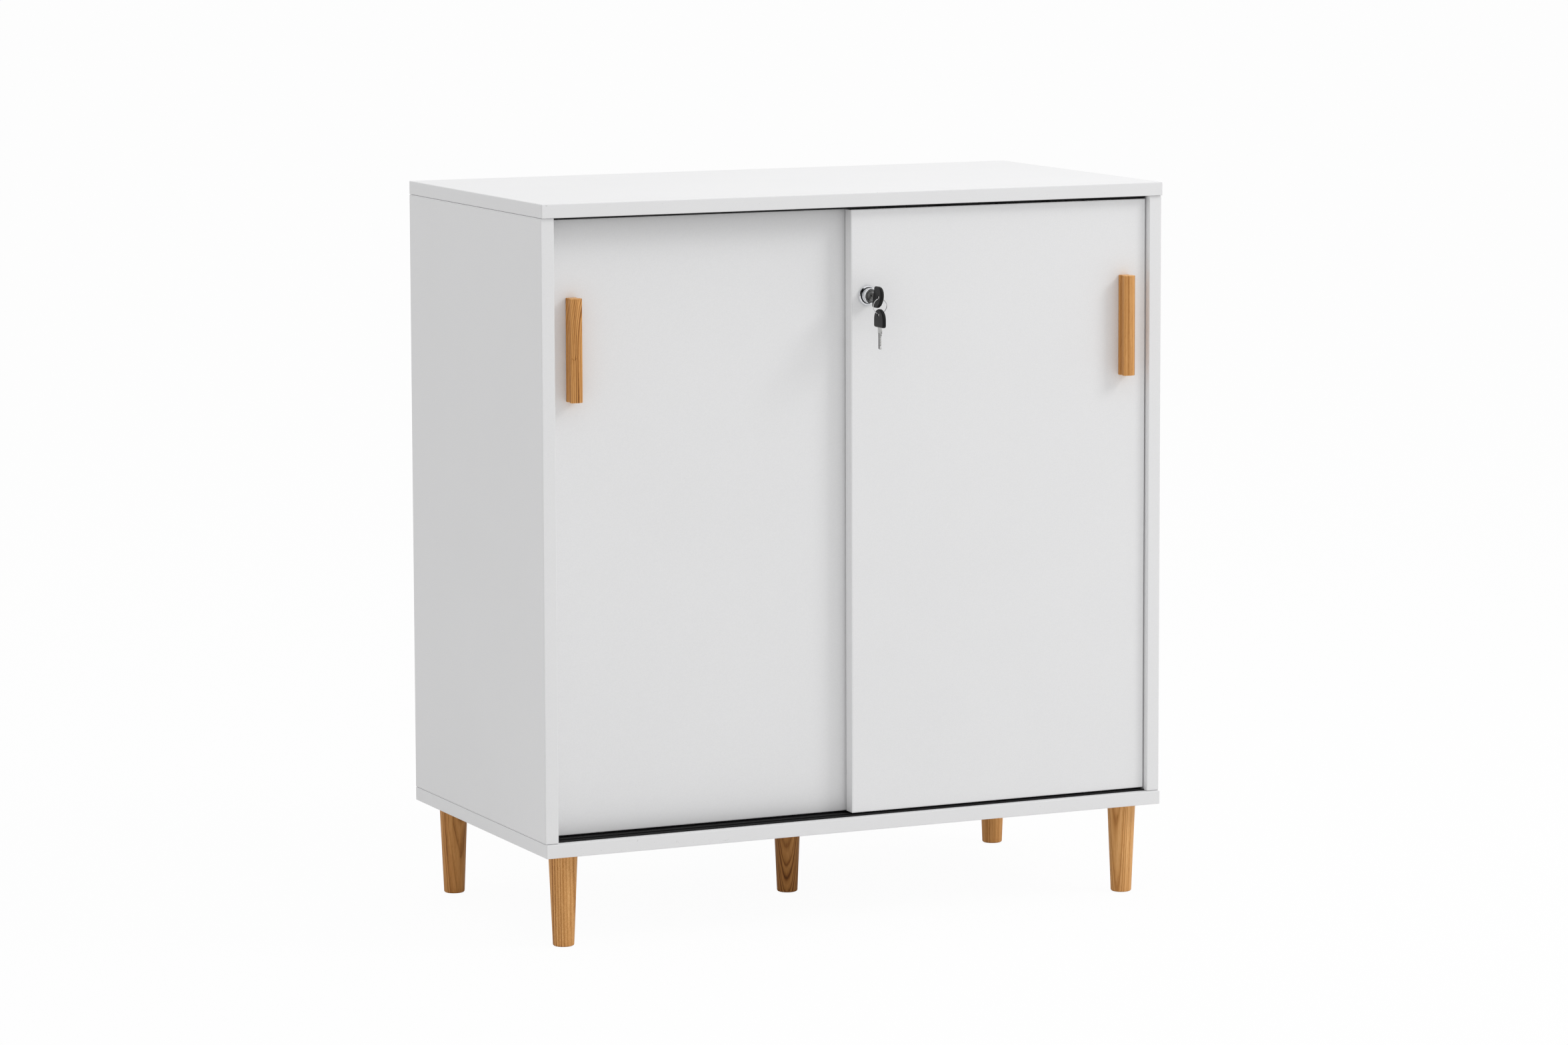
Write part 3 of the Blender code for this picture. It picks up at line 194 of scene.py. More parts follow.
def around(middle, *parts):
    """A value that varies about its middle: each part is a noise and the span that it covers."""
    for noise, span in parts:
        middle = middle + (noise - 0.5) * span
    return middle


def melamine(name, colour, roughness, pearl_bump):
    """White melamine with a fine pearl grain pressed into it."""
    finish = Finish(name, {})
    pearl = finish.noise(finish.place(), PEARL_SCALE, detail=3.0, roughness=0.75)
    cloud = finish.noise(finish.place(), CLOUD_SCALE)
    shade = around(1.0, (pearl, PEARL_SHADE), (cloud, CLOUD_SHADE))
    finish.feed("Base Color", finish.tint(colour, shade))
    finish.feed("Roughness", around(roughness, (pearl, ROUGHNESS_SPAN)))
    finish.bump(pearl, pearl_bump)
    return finish.material


def banding(name, colour, front=None):
    """Plastic edge banding, a little smoother than the faces. Where two bands meet at a front
    corner, the front one covers the other's end and leaves a fine line; handling leaves scuffs."""
    finish = Finish(name, {})
    grain = finish.noise(finish.place(), BAND_GRAIN_SCALE, roughness=0.6)
    shade = around(BAND_BRIGHTNESS, (grain, BAND_GRAIN_SHADE))
    if front is not None:
        depth = finish.node("ShaderNodeSeparateXYZ", {}, {0: finish.place()}, "Y")
        shade = shade - SEAM_SHADE * (abs(depth - (front + EDGE_BAND)) < SEAM_WIDTH)
        patches = finish.noise(finish.place(), SCUFFED_PATCH_SCALE, detail=1.0)
        scuffs = finish.noise(finish.place(SCUFF_STRETCH), SCUFF_SCALE, detail=1.0)
        scuffed = (patches > SCUFFED_PATCHES_ABOVE) * (scuffs > SCUFFS_ABOVE)
        shade = shade - SCUFF_SHADE * scuffed
    finish.feed("Base Color", finish.tint(colour, shade))
    finish.feed("Roughness", around(BAND_ROUGHNESS, (grain, ROUGHNESS_SPAN)))
    finish.bump(grain, BAND_BUMP)
    return finish.material


white_face = melamine("white_melamine", WHITE_FACE, roughness=0.60, pearl_bump=0.00003)
white_band = banding("white_edge_band", WHITE_BAND)
band_seam = melamine("edge_band_seam", SEAM_GREY, roughness=0.60, pearl_bump=0.00002)
corner_band = banding("white_corner_band", WHITE_BAND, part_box("base_panel")[0].y)


def settle(piece):
    """Applies a piece's modifiers to its mesh."""
    graph = bpy.context.evaluated_depsgraph_get()
    mesh = bpy.data.meshes.new_from_object(piece.evaluated_get(graph))
    piece.modifiers.clear()
    piece.data = mesh
    mesh.name = piece.name
    return piece


def new_piece(name, bm, *materials):
    """A piece of the scene from a bmesh drawn where the piece belongs."""
    bmesh.ops.recalc_face_normals(bm, faces=bm.faces)
    mesh = bpy.data.meshes.new(name)
    bm.to_mesh(mesh)
    bm.free()
    for material in materials:
        mesh.materials.append(material)
    piece = bpy.data.objects.new(name, mesh)
    bpy.context.scene.collection.objects.link(piece)
    return piece


def fit(piece, body, slot, *nodes):
    """Puts a piece on its body, in place of the plain solids that it stands for."""
    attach(piece, body)
    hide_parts(*nodes)
    return piece


def add_block(bm, low, high):
    """Adds a plain block between two corners."""
    size = Vector(high) - Vector(low)
    middle = (Vector(low) + Vector(high)) / 2
    stand = Matrix.Translation(middle) @ Matrix.Diagonal((*size, 1.0))
    bmesh.ops.create_cube(bm, size=1.0, matrix=stand)


def add_turned(bm, profile, sides, stand, inner=()):
    """Adds a profile of (radius, height) pairs turned about its height. It starts and ends on
    the axis, or else it closes into a loop. The stretches of the profile that inner numbers
    take the second material."""
    rings = []
    for radius, height in profile:
        ring = []
        for i in range(1 if radius == 0 else sides):
            angle = math.tau * i / sides
            point = Vector((radius * math.cos(angle), radius * math.sin(angle), height))
            ring.append(bm.verts.new(stand @ point))
        rings.append(ring)
    pairs = list(zip(rings, rings[1:]))
    if profile[0][0] != 0:
        pairs.append((rings[-1], rings[0]))
    for number, (lower, upper) in enumerate(pairs):
        for i in range(sides):
            j = (i + 1) % sides
            corners = (
                lower[i % len(lower)], lower[j % len(lower)],
                upper[j % len(upper)], upper[i % len(upper)],
            )
            face = bm.faces.new(list(dict.fromkeys(corners)))
            face.material_index = int(number in inner)


def add_prism(bm, outline, low, high, stand):
    """Adds an outline of (x, y) pairs drawn out along Z from low to high."""
    ends = [[bm.verts.new(stand @ Vector((x, y, z))) for x, y in outline] for z in (low, high)]
    bm.faces.new(ends[0])
    bm.faces.new(ends[1][::-1])
    for i in range(len(outline)):
        j = (i + 1) % len(outline)
        bm.faces.new((ends[0][i], ends[0][j], ends[1][j], ends[1][i]))


def carve(piece, bm):
    """Cuts a shape out of a piece."""
    cutter = new_piece(piece.name + "_cutter", bm)
    boolean = piece.modifiers.new("carve", "BOOLEAN")
    boolean.operation = "DIFFERENCE"
    boolean.solver = "EXACT"
    boolean.object = cutter
    settle(piece)
    bpy.data.objects.remove(cutter, do_unlink=True)
    return piece


def round_arrises(piece, width, segments):
    """Rounds a piece's sharp edges over."""
    rounding = piece.modifiers.new("rounding", "BEVEL")
    rounding.width = width
    rounding.segments = segments
    rounding.limit_method = "ANGLE"
    rounding.angle_limit = SMOOTH_BELOW
    return settle(piece)


def soften(piece):
    """Shades curved surfaces smoothly and leaves sharp edges sharp."""
    piece.data.shade_smooth()
    piece.data.set_sharp_from_angle(angle=SMOOTH_BELOW)
    return piece


def even_normals(piece):
    """Keeps flat faces flat to the eye while their rounded edges shade softly."""
    soften(piece)
    weighted = piece.modifiers.new("even_normals", "WEIGHTED_NORMAL")
    weighted.keep_sharp = True
    return settle(piece)


def make_board(name, node, body, band, cutter=None):
    """A faced board in place of a plain one, with rounded arrises, banded edges and a seam
    beside each band."""
    low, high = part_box(node)
    size = high - low
    thin = min(range(3), key=lambda axis: size[axis])
    bm = bmesh.new()
    add_block(bm, low, high)
    bmesh.ops.bevel(
        bm, geom=bm.edges[:], offset=EDGE_ROUNDING, segments=EDGE_SEGMENTS, profile=0.5,
        affect="EDGES",
    )
    bm.normal_update()
    faces = [face for face in bm.faces if abs(face.normal[thin]) > LEVEL_WITH_FACE]
    for face in bm.faces:
        face.material_index = 1
    for face in faces:
        bmesh.ops.inset_region(bm, faces=[face], thickness=EDGE_BAND - EDGE_ROUNDING / 2)
        for depth in (-SEAM_DEPTH, SEAM_DEPTH):
            seam = bmesh.ops.inset_region(
                bm, faces=[face], thickness=SEAM_WIDTH / 2, depth=depth,
            )
            for strip in seam["faces"]:
                strip.material_index = 2
        face.material_index = 0
    piece = new_piece(name, bm, white_face, band, band_seam)
    if cutter is not None:
        carve(piece, cutter)
    even_normals(piece)
    return fit(piece, body, "white_board", node)


def back_groove(low_z, high_z):
    """The shape of the groove that a board has for the back panel."""
    low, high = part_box("back_panel")
    bm = bmesh.new()
    add_block(bm, (low.x, low.y, low_z), (high.x, high.y, high_z))
    return bm


base_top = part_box("base_panel")[1].z
groove = back_groove(base_top - GROOVE_DEPTH, base_top + OVERRUN)
make_board("base_board", "base_panel", "carcass", corner_band, groove)


# Legs: ash turned to a taper, rounded over at the foot, sanded and oiled. The grain differs
# from leg to leg as it does in real ones: each has its growth layers facing another way.
LEG_FOOT_DIAMETER = 0.025
LEG_FOOT_ROUNDING = 0.0022
LEG_TOP_ROUNDING = 0.0006
LEG_SIDES = 72
FOOT_STEPS = 6
ASH_GLOSS = 0.22
ASH_ROUGHNESS = 0.49
ASH_ROUGHNESS_SPAN = 0.18
ASH_BUMP = 0.00005
ASH_COLOURS = (
    (0.00, (0.125, 0.040, 0.006)),
    (0.25, (0.315, 0.122, 0.026)),
    (0.50, (0.505, 0.222, 0.060)),
    (0.75, (0.680, 0.342, 0.114)),
    (1.00, (0.850, 0.480, 0.195)),
)
LAYER_DARKNESS = (
    (0.00, (0.85, 0.85, 0.85)),
    (0.07, (1.0, 1.0, 1.0)),
    (0.22, (0.50, 0.50, 0.50)),
    (0.45, (0.12, 0.12, 0.12)),
    (0.72, (0.0, 0.0, 0.0)),
    (0.90, (0.30, 0.30, 0.30)),
    (1.00, (0.85, 0.85, 0.85)),
)
FAINTEST_LAYER = 0.30
LAYER_BREAKS = 1.1
YEARS_SCALE = 0.7
SWAY_SCALE = 75.0
RIPPLE_SCALE = 420.0
RIPPLE_STRETCH = (0.5, 0.5, 1.3)
LONG_FIBRES = (1.0, 1.0, 0.03)
FIBRE_SCALE = 1300.0
FIBRE_SHADE = 0.48
STREAK_SCALE = 230.0
PORE_SCALE = 1200.0
PORE_STRETCH = (1.0, 1.0, 0.12)
PORES_ABOVE = 0.60
PORE_SHADE = 0.11
PORE_SINK = 0.8
FLECK_SCALE = 640.0
FLECK_STRETCH = (1.0, 1.0, 1.8)
FLECKS_ABOVE = 0.56
KNOT_REACH = 2.6
KNOT_RIM_SHARPNESS = 4.5
KNOT_RIM_SHADE = 0.30
# How much paler the handles' ends are painted: painted light.
PAINTED_LIGHT_ON_ENDS = 0.22
USUAL_GRAIN = dict(start=0.0, lean=0.0, wobble=0.0012, sway=0.20, uneven=0.95, streaks=0.36)


def depth_in_log(finish, here, height, grain):
    """How far a point lies from the middle of the piece toward the heart of the log, with the
    lean, the wobble and the rest that bend the growth layers."""
    facing = math.radians(grain["facing"])
    heart = (math.cos(facing) * grain["heart"], math.sin(facing) * grain["heart"], 0.0)
    to_heart = finish.vector("MULTIPLY", finish.vector("SUBTRACT", here, heart), (1.0, 1.0, 0.0))
    depth = grain["heart"] - finish.length(to_heart) + height * grain["lean"]
    sway = finish.vector("MULTIPLY", here, (1.0, 1.0, grain["sway"]))
    depth = around(depth, (finish.noise(sway, SWAY_SCALE, detail=1.0), grain["wobble"]))
    if "ripple" in grain:
        ripple = finish.vector("MULTIPLY", here, RIPPLE_STRETCH)
        depth = around(depth, (finish.noise(ripple, RIPPLE_SCALE, detail=1.0), grain["ripple"]))
    if "sweep" in grain:
        start, curve = grain["sweep"]
        above = (height - start).at_least(0.0)
        depth = depth - above * above * curve
    return depth


def ash(name, centre, grain):
    """Oiled ash. The growth layers lie round the log's heart, at a distance and on the side, in
    degrees from +X, that the grain gives, and the fibres and pores run along Z."""
    grain = {**USUAL_GRAIN, **grain}
    finish = Finish(name, {"Specular IOR Level": ASH_GLOSS})
    here = finish.vector("SUBTRACT", finish.place(), centre)
    height = finish.node("ShaderNodeSeparateXYZ", {}, {0: here}, "Z")
    depth = depth_in_log(finish, here, height, grain)
    tone = grain["tone"]
    if "knot" in grain:
        spot, size, push = grain["knot"]
        away = finish.vector("DIVIDE", finish.vector("SUBTRACT", here, spot), size)
        away = finish.length(away)
        near = (1.0 - away / KNOT_REACH).at_least(0.0)
        depth = depth + near * near * push
        rim = (1.0 - abs(away - 1.0) * KNOT_RIM_SHARPNESS).at_least(0.0) * (height < spot[2])
        tone = tone - KNOT_RIM_SHADE * rim

    one_line = {"noise_dimensions": "1D"}
    layers = depth / grain["spacing"] + grain["start"]
    years = {"W": layers, "Scale": YEARS_SCALE, "Detail": 0.0}
    layers = layers + finish.node("ShaderNodeTexNoise", one_line, years) * grain["uneven"]
    layer = layers % 1.0
    year = finish.node("ShaderNodeTexWhiteNoise", one_line, {"W": layers - layer}, "Value")
    line = finish.node("ShaderNodeValToRGB", {"stops": LAYER_DARKNESS}, {"Fac": layer})

    fibres = finish.vector("MULTIPLY", here, LONG_FIBRES)
    fibre = finish.noise(fibres, FIBRE_SCALE, detail=3.0, roughness=0.7)
    streak = finish.noise(fibres, STREAK_SCALE)
    pores = finish.vector("MULTIPLY", here, PORE_STRETCH)
    pore = (finish.noise(pores, PORE_SCALE, detail=1.0) > PORES_ABOVE) * (1.0 - layer)
    tone = around(tone, (fibre, FIBRE_SHADE), (streak, grain["streaks"])) - pore * PORE_SHADE
    darkness = FAINTEST_LAYER + year * (1.0 - FAINTEST_LAYER)
    darkness = darkness * around(1.0, (fibre, LAYER_BREAKS)) * grain["contrast"]
    tone = tone - line * darkness
    # Painted light and shade: with a side-light vector the piece is painted paler toward one side
    # and darker toward the other, standing in for how the lamps fall on it.
    if "painted_side_light" in grain:
        tone = tone + finish.vector("DOT_PRODUCT", here, grain["painted_side_light"], "Value")
    if "fleck" in grain:
        flecks = finish.vector("MULTIPLY", here, FLECK_STRETCH)
        flecks = finish.noise(flecks, FLECK_SCALE, detail=1.0) > FLECKS_ABOVE
        tone = tone + flecks * grain["fleck"]
    # Painted light: both ends of a handle are made paler, standing in for the light from above on
    # its top end.
    if "end" in grain:
        tone = tone + (abs(height) > grain["end"]) * PAINTED_LIGHT_ON_ENDS
    colour = finish.node("ShaderNodeValToRGB", {"stops": ASH_COLOURS}, {"Fac": tone})
    finish.feed("Base Color", colour)
    finish.feed("Roughness", around(ASH_ROUGHNESS, (fibre, ASH_ROUGHNESS_SPAN)))
    finish.bump(fibre - pore * PORE_SINK, ASH_BUMP)
    return finish.material


# The front right, back right and back left legs carry a side-light vector: painted light on the
# side that the lamps reach, and on the back left leg painted shade on the side that the cupboard
# shades.
LEG_WOODS = {
    "front_left": dict(
        facing=146.0, spacing=0.0034, heart=0.40, wobble=0.0006, sway=0.05, uneven=0.45,
        tone=0.785, contrast=0.76, ripple=0.0009, fleck=0.11,
    ),
    "centre": dict(
        facing=-116.0, spacing=0.0022, heart=0.11, start=3.05, lean=0.070,
        tone=0.525, contrast=0.62, streaks=0.26,
    ),
    "front_right": dict(
        facing=219.0, spacing=0.0020, heart=0.14, start=0.2, lean=-0.008, wobble=0.0010,
        tone=0.865, contrast=0.50, streaks=0.30, painted_side_light=(3.6, -1.7, 0.0),
    ),
    "back_right": dict(
        facing=160.0, spacing=0.0038, heart=0.09, start=0.6,
        tone=0.68, contrast=0.34, streaks=0.30, painted_side_light=(1.8, -0.9, 0.0),
    ),
    "back_left": dict(
        facing=285.0, spacing=0.0046, heart=0.08, start=1.1, lean=0.045, wobble=0.0050,
        sway=0.30, tone=0.595, contrast=0.40, streaks=0.30, painted_side_light=(-3.6, 1.7, 0.0),
    ),
}
for corner, grain in LEG_WOODS.items():
    low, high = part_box("leg_" + corner)
    top_radius = (high.x - low.x) / 2
    foot_radius = LEG_FOOT_DIAMETER / 2
    centre = ((low.x + high.x) / 2, (low.y + high.y) / 2, 0.0)
    profile = [(0, 0)]
    for step in range(FOOT_STEPS + 1):
        turn = math.pi / 2 * step / FOOT_STEPS
        profile.append((
            foot_radius - LEG_FOOT_ROUNDING * (1 - math.sin(turn)),
            LEG_FOOT_ROUNDING * (1 - math.cos(turn)),
        ))
    profile += [
        (top_radius, high.z - LEG_TOP_ROUNDING),
        (top_radius - LEG_TOP_ROUNDING, high.z),
        (0, high.z),
    ]
    bm = bmesh.new()
    add_turned(bm, profile, LEG_SIDES, Matrix.Translation(centre))
    leg = new_piece("turned_leg_" + corner, bm, ash("ash_leg_" + corner, centre, grain))
    fit(soften(leg), "carcass", "oiled_ash", "leg_" + corner)


# Studs: zinc-plated steel, threaded at both ends, one up the middle of each leg. The same
# plating is on the screws and the inner parts of the lock.
ZINC = (0.60, 0.61, 0.63)
METAL_BRIGHTNESS = 0.99
PLATING_CLOUD_SCALE = 260.0
PLATING_SHADE = 0.26
PLATING_ROUGHNESS_SPAN = 0.14
TUMBLING_SCALE = 3200.0
TUMBLING_STRETCH = (1.0, 1.0, 0.2)
TUMBLING_BUMP = 0.00001


def plated_steel(name, colour, roughness):
    """Steel with a thin bright plating, clouded a little, with fine marks from tumbling."""
    finish = Finish(name, {"Metallic": 1.0})
    cloud = finish.noise(finish.place(), PLATING_CLOUD_SCALE, detail=3.0)
    marks = finish.noise(finish.place(TUMBLING_STRETCH), TUMBLING_SCALE)
    shade = around(METAL_BRIGHTNESS, (cloud, PLATING_SHADE))
    finish.feed("Base Color", finish.tint(colour, shade))
    finish.feed("Roughness", around(roughness, (cloud, PLATING_ROUGHNESS_SPAN)))
    finish.bump(marks, TUMBLING_BUMP)
    return finish.material


def dress(material, *nodes):
    """Gives solids that keep their own shape a finish."""
    for node in nodes:
        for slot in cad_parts[node].material_slots:
            slot.material = material


zinc = plated_steel("zinc_plate", ZINC, roughness=0.33)
dress(zinc, *("leg_stud_" + corner for corner in LEG_WOODS))


# Side panels and the partition: the same faced board, standing on the base. Rows of 5 mm
# holes take the shelf pins, and the back panel's groove runs down the inner faces.
PIN_HOLE_RADIUS = 0.0028
PIN_HOLE_DEPTH = 0.0068
PIN_HOLE_PITCH = 0.032
PIN_HOLE_SIDES = 24
QUARTER_TURN = math.radians(90)
PIN_NUMBERS = (1, 2, 3, 4)


def bore_pin_holes(bm, face_x, inward, half):
    """Adds the holes for the shelf pins of one face: the row in use, one above and one below."""
    for number in PIN_NUMBERS:
        low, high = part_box("shelf_pin_%s_%d" % (half, number))
        if low.x < face_x < high.x:
            for row in (-1, 0, 1):
                z = (low.z + high.z) / 2 + row * PIN_HOLE_PITCH
                start = (face_x - inward * OVERRUN, (low.y + high.y) / 2, z)
                turn = Matrix.Rotation(QUARTER_TURN * inward, 4, "Y")
                stand = Matrix.Translation(start) @ turn
                reach = PIN_HOLE_DEPTH + OVERRUN
                hole = ((0, 0), (PIN_HOLE_RADIUS, 0), (PIN_HOLE_RADIUS, reach), (0, reach))
                add_turned(bm, hole, PIN_HOLE_SIDES, stand)


for side, outward in (("left", -1), ("right", 1)):
    low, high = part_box("side_panel_" + side)
    inner_x = high.x if side == "left" else low.x
    back_low, back_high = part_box("back_panel")
    mouth = inner_x - outward * OVERRUN
    bottom = inner_x + outward * GROOVE_DEPTH
    bm = bmesh.new()
    add_block(
        bm,
        (min(mouth, bottom), back_low.y, low.z - OVERRUN),
        (max(mouth, bottom), back_high.y, high.z + OVERRUN),
    )
    bore_pin_holes(bm, inner_x, outward, side)
    make_board(side + "_side_board", "side_panel_" + side, "carcass", white_band, bm)

low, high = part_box("centre_partition")
bm = bmesh.new()
bore_pin_holes(bm, low.x, 1, "left")
bore_pin_holes(bm, high.x, -1, "right")
make_board("partition_board", "centre_partition", "carcass", white_band, bm)


# Back panel: 3 mm hardboard, lacquered white on both faces, slid down the grooves before
# the top goes on. It is thinner and a little rougher than the boards.
BACK_WHITE = (0.79, 0.79, 0.79)
hardboard = melamine("white_hardboard", BACK_WHITE, roughness=0.58, pearl_bump=0.00005)
dress(hardboard, "back_panel")


# Shelves and their pins: a faced board in each half, lying on four nickelled steel pins
# that push into the holes and stop on a collar.
NICKEL = (0.66, 0.64, 0.60)
nickel = plated_steel("nickel_plate", NICKEL, roughness=0.25)
for half in ("left", "right"):
    make_board(half + "_shelf_board", "shelf_" + half, "carcass", white_band)
    dress(nickel, *("shelf_pin_%s_%d" % (half, number) for number in PIN_NUMBERS))


# Top board: as the base, laid on the sides last, with the back panel's groove underneath.
# It stands a few millimetres in front of the sides.
top_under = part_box("top_panel")[0].z
groove = back_groove(top_under - OVERRUN, top_under + GROOVE_DEPTH)
make_board("top_board", "top_panel", "carcass", corner_band, groove)


# Tracks: black plastic extrusions glued to the base and under the top. The lower one has
# five ribs, two of which carry the doors; the upper one has a channel for each door.
TRACK_BLACK = (0.0065, 0.0065, 0.007)
TRACK_WEB = 0.0012
TRACK_WALL = 0.0012
RIB_WIDTH = 0.0016
LIP_DROP = 0.0008
CHANNEL_WIDTH = 0.0070
CREST_STEPS = 4
PLASTIC_SHADE = 0.30
PLASTIC_ROUGHNESS_SPAN = 0.16
DUST_SCALE = 60.0
EVEN_GRAIN = (1.0, 1.0, 1.0)
DRAWN_GRAIN = (0.03, 1.0, 1.0)
ALONG_X = Matrix(((0, 0, 1, 0), (1, 0, 0, 0), (0, 1, 0, 0), (0, 0, 0, 1)))


def black_plastic(name, colour, roughness, gloss, scale, bump, stretch=EVEN_GRAIN):
    """Moulded or extruded black plastic with a fine grain and a little dust."""
    finish = Finish(name, {"Specular IOR Level": gloss})
    grain = finish.noise(finish.place(stretch), scale, detail=3.0)
    dust = finish.noise(finish.place(), DUST_SCALE, detail=3.0)
    shade = around(1.0, (grain, PLASTIC_SHADE), (dust, PLASTIC_SHADE))
    finish.feed("Base Color", finish.tint(colour, shade))
    finish.feed("Roughness", around(roughness, (grain, PLASTIC_ROUGHNESS_SPAN)))
    finish.bump(grain, bump)
    return finish.material


track_black = black_plastic(
    "extruded_black_plastic", TRACK_BLACK,
    roughness=0.36, gloss=0.26, scale=900.0, bump=0.00002, stretch=DRAWN_GRAIN,
)


def make_track(name, node, ridges, seat, web):
    """An extrusion along X: a flat web, and ridges with rounded crests, each given as
    (front, rear, crest)."""
    low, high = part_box(node)
    outline = [(high.y, seat), (low.y, seat), (low.y, web)]
    for front, rear, crest in ridges:
        radius = (rear - front) / 2
        rise = math.copysign(radius, crest - web)
        outline.append((front, web))
        for step in range(2 * CREST_STEPS + 1):
            turn = math.pi * step / (2 * CREST_STEPS)
            outline.append((
                front + radius * (1 - math.cos(turn)),
                crest - rise * (1 - math.sin(turn)),
            ))
        outline.append((rear, web))
    outline.append((high.y, web))
    outline = list(dict.fromkeys((round(y, 7), round(z, 7)) for y, z in outline))
    bm = bmesh.new()
    add_prism(bm, outline, low.x, high.x, ALONG_X)
    return fit(soften(new_piece(name, bm, track_black)), "carcass", "black_plastic", node)


lanes = []
for side in ("right", "left"):
    low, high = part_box(side + "_door_panel")
    lanes.append((low.y + high.y) / 2)
low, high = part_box("lower_track")
lip = high.z - LIP_DROP
middle = (low.y + high.y) / 2
make_track("running_track", "lower_track", (
    (low.y, low.y + TRACK_WALL, lip),
    (lanes[0] - RIB_WIDTH / 2, lanes[0] + RIB_WIDTH / 2, high.z),
    (middle - TRACK_WALL / 2, middle + TRACK_WALL / 2, lip),
    (lanes[1] - RIB_WIDTH / 2, lanes[1] + RIB_WIDTH / 2, high.z),
    (high.y - TRACK_WALL, high.y, lip),
), low.z, base_top + TRACK_WEB)

low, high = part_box("upper_track")
ridges = []
for lane in lanes:
    for wall in (lane - CHANNEL_WIDTH / 2 - TRACK_WALL, lane + CHANNEL_WIDTH / 2):
        ridges.append((wall, wall + TRACK_WALL, low.z))
make_track("guide_track", "upper_track", ridges, high.z, top_under - TRACK_WEB)


# Doors: faced boards 16 mm thick, banded all round. Plastic gliders let into the bottom edge
# straddle the track's ribs, and guides in the top edge run in its channels. The right door
# is bored for the lock, with a shallow recess behind for the lock's flange.
LOCK_BORE_RADIUS = 0.0115
LOCK_RECESS_DEPTH = 0.0021
glider_black = black_plastic(
    "moulded_black_plastic", TRACK_BLACK, roughness=0.44, gloss=0.35, scale=1400.0, bump=0.00002,
)
low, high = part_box("lock_rosette")
lock_x = (low.x + high.x) / 2
lock_z = (low.z + high.z) / 2
door_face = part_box("right_door_panel")[0].y
lock_centre = Vector((lock_x, door_face, lock_z))
from_face = Matrix.Translation(lock_centre) @ Matrix.Rotation(QUARTER_TURN, 4, "X")
for side in ("left", "right"):
    fittings = [
        "%s_%s_%d" % (kind, side, number)
        for kind in ("door_glider", "top_guide")
        for number in (1, 2)
    ]
    bm = bmesh.new()
    for fitting in fittings:
        low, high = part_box(fitting)
        if fitting.startswith("door_glider"):
            low.z -= OVERRUN
        else:
            high.z += OVERRUN
        add_block(bm, low, high)
    if side == "right":
        low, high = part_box("lock_housing")
        flange = (high.x - low.x) / 2
        rear = low.y - high.y
        add_turned(bm, (
            (0, OVERRUN),
            (LOCK_BORE_RADIUS, OVERRUN),
            (LOCK_BORE_RADIUS, rear + LOCK_RECESS_DEPTH),
            (flange, rear + LOCK_RECESS_DEPTH),
            (flange, rear - OVERRUN),
            (0, rear - OVERRUN),
        ), LEG_SIDES, from_face)
    make_board(side + "_door_board", side + "_door_panel", side + "_door", white_band, bm)
    dress(glider_black, *fittings)


# Handles: bars of oiled ash, moulded with a finger groove down each side and a low ridge
# down the front. Two screws through the door from behind hold each one.
HANDLE_BASE_WIDTH = 0.0136
HANDLE_LIP = 0.0036
HANDLE_GROOVE = 0.0017
HANDLE_CROWN = 0.0024
HANDLE_ROUNDING = 0.0010
HANDLE_RIDGE_WIDTH = 0.0022
HANDLE_RIDGE_OFFSET = 0.0004
HANDLE_RIDGE_BLUNTNESS = 0.35
HANDLE_ARRIS_STEPS = 4
GROOVE_STEPS = 14
HANDLE_WOODS = {
    "left": dict(
        facing=-35.0, spacing=0.0024, heart=0.09, start=0.3, wobble=0.0030, sway=0.12,
        uneven=0.60, tone=0.755, contrast=0.74, streaks=0.50, sweep=(-0.004, 1.5),
        knot=((-0.0036, -0.0080, -0.0078), (0.0025, 0.0060, 0.0023), 0.0010),
    ),
    # The right handle's side-light vector paints its right facet paler and its left facet darker:
    # painted light and shade from the lamp on the right.
    "right": dict(
        facing=12.0, spacing=0.0030, heart=0.12, start=0.10, wobble=0.0010, sway=0.05,
        tone=0.775, contrast=0.60, streaks=0.50, painted_side_light=(11.0, 0.0, 0.0),
    ),
}


def mirrored(points):
    """The points of an outline's one side, mirrored and in the opposite order for the other."""
    return [(-across, along) for across, along in reversed(points)]


def handle_section(width, depth):
    """The bar's cross-section as (distance across, distance out of the door's face)."""
    groove_end = depth - HANDLE_LIP - HANDLE_CROWN
    half = []
    for step in range(GROOVE_STEPS + 1):
        share = step / GROOVE_STEPS
        across = HANDLE_BASE_WIDTH + (width - HANDLE_BASE_WIDTH) * share
        hollow = HANDLE_GROOVE * math.sin(math.pi * share) ** 2
        half.append((across / 2 - hollow, groove_end * share))
    half.append((width / 2, depth - HANDLE_CROWN))
    ridge = HANDLE_RIDGE_WIDTH / 2
    fall = HANDLE_CROWN * ridge / (width / 2)
    crown = [
        (HANDLE_RIDGE_OFFSET + ridge, depth - fall),
        (HANDLE_RIDGE_OFFSET, depth - fall * HANDLE_RIDGE_BLUNTNESS),
        (HANDLE_RIDGE_OFFSET - ridge, depth - fall),
    ]
    return half + crown + mirrored(half)


for side, grain in HANDLE_WOODS.items():
    low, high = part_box("handle_" + side)
    middle = (low + high) / 2
    section = handle_section(high.x - low.x, high.y - low.y)
    bm = bmesh.new()
    outline = [(middle.x + across, high.y - out) for across, out in section]
    add_prism(bm, outline, low.z, high.z, Matrix())
    # Both ends of the bar take painted light, made paler than the rest.
    grain = dict(grain, end=(high.z - low.z) / 2 - HANDLE_ROUNDING / 2)
    wood = ash("ash_handle_" + side, tuple(middle), grain)
    bar = new_piece("bar_handle_" + side, bm, wood)
    even_normals(round_arrises(bar, HANDLE_ROUNDING, HANDLE_ARRIS_STEPS))
    fit(bar, side + "_door", "oiled_ash", "handle_" + side)
    dress(zinc, "handle_screw_%s_1" % side, "handle_screw_%s_2" % side)


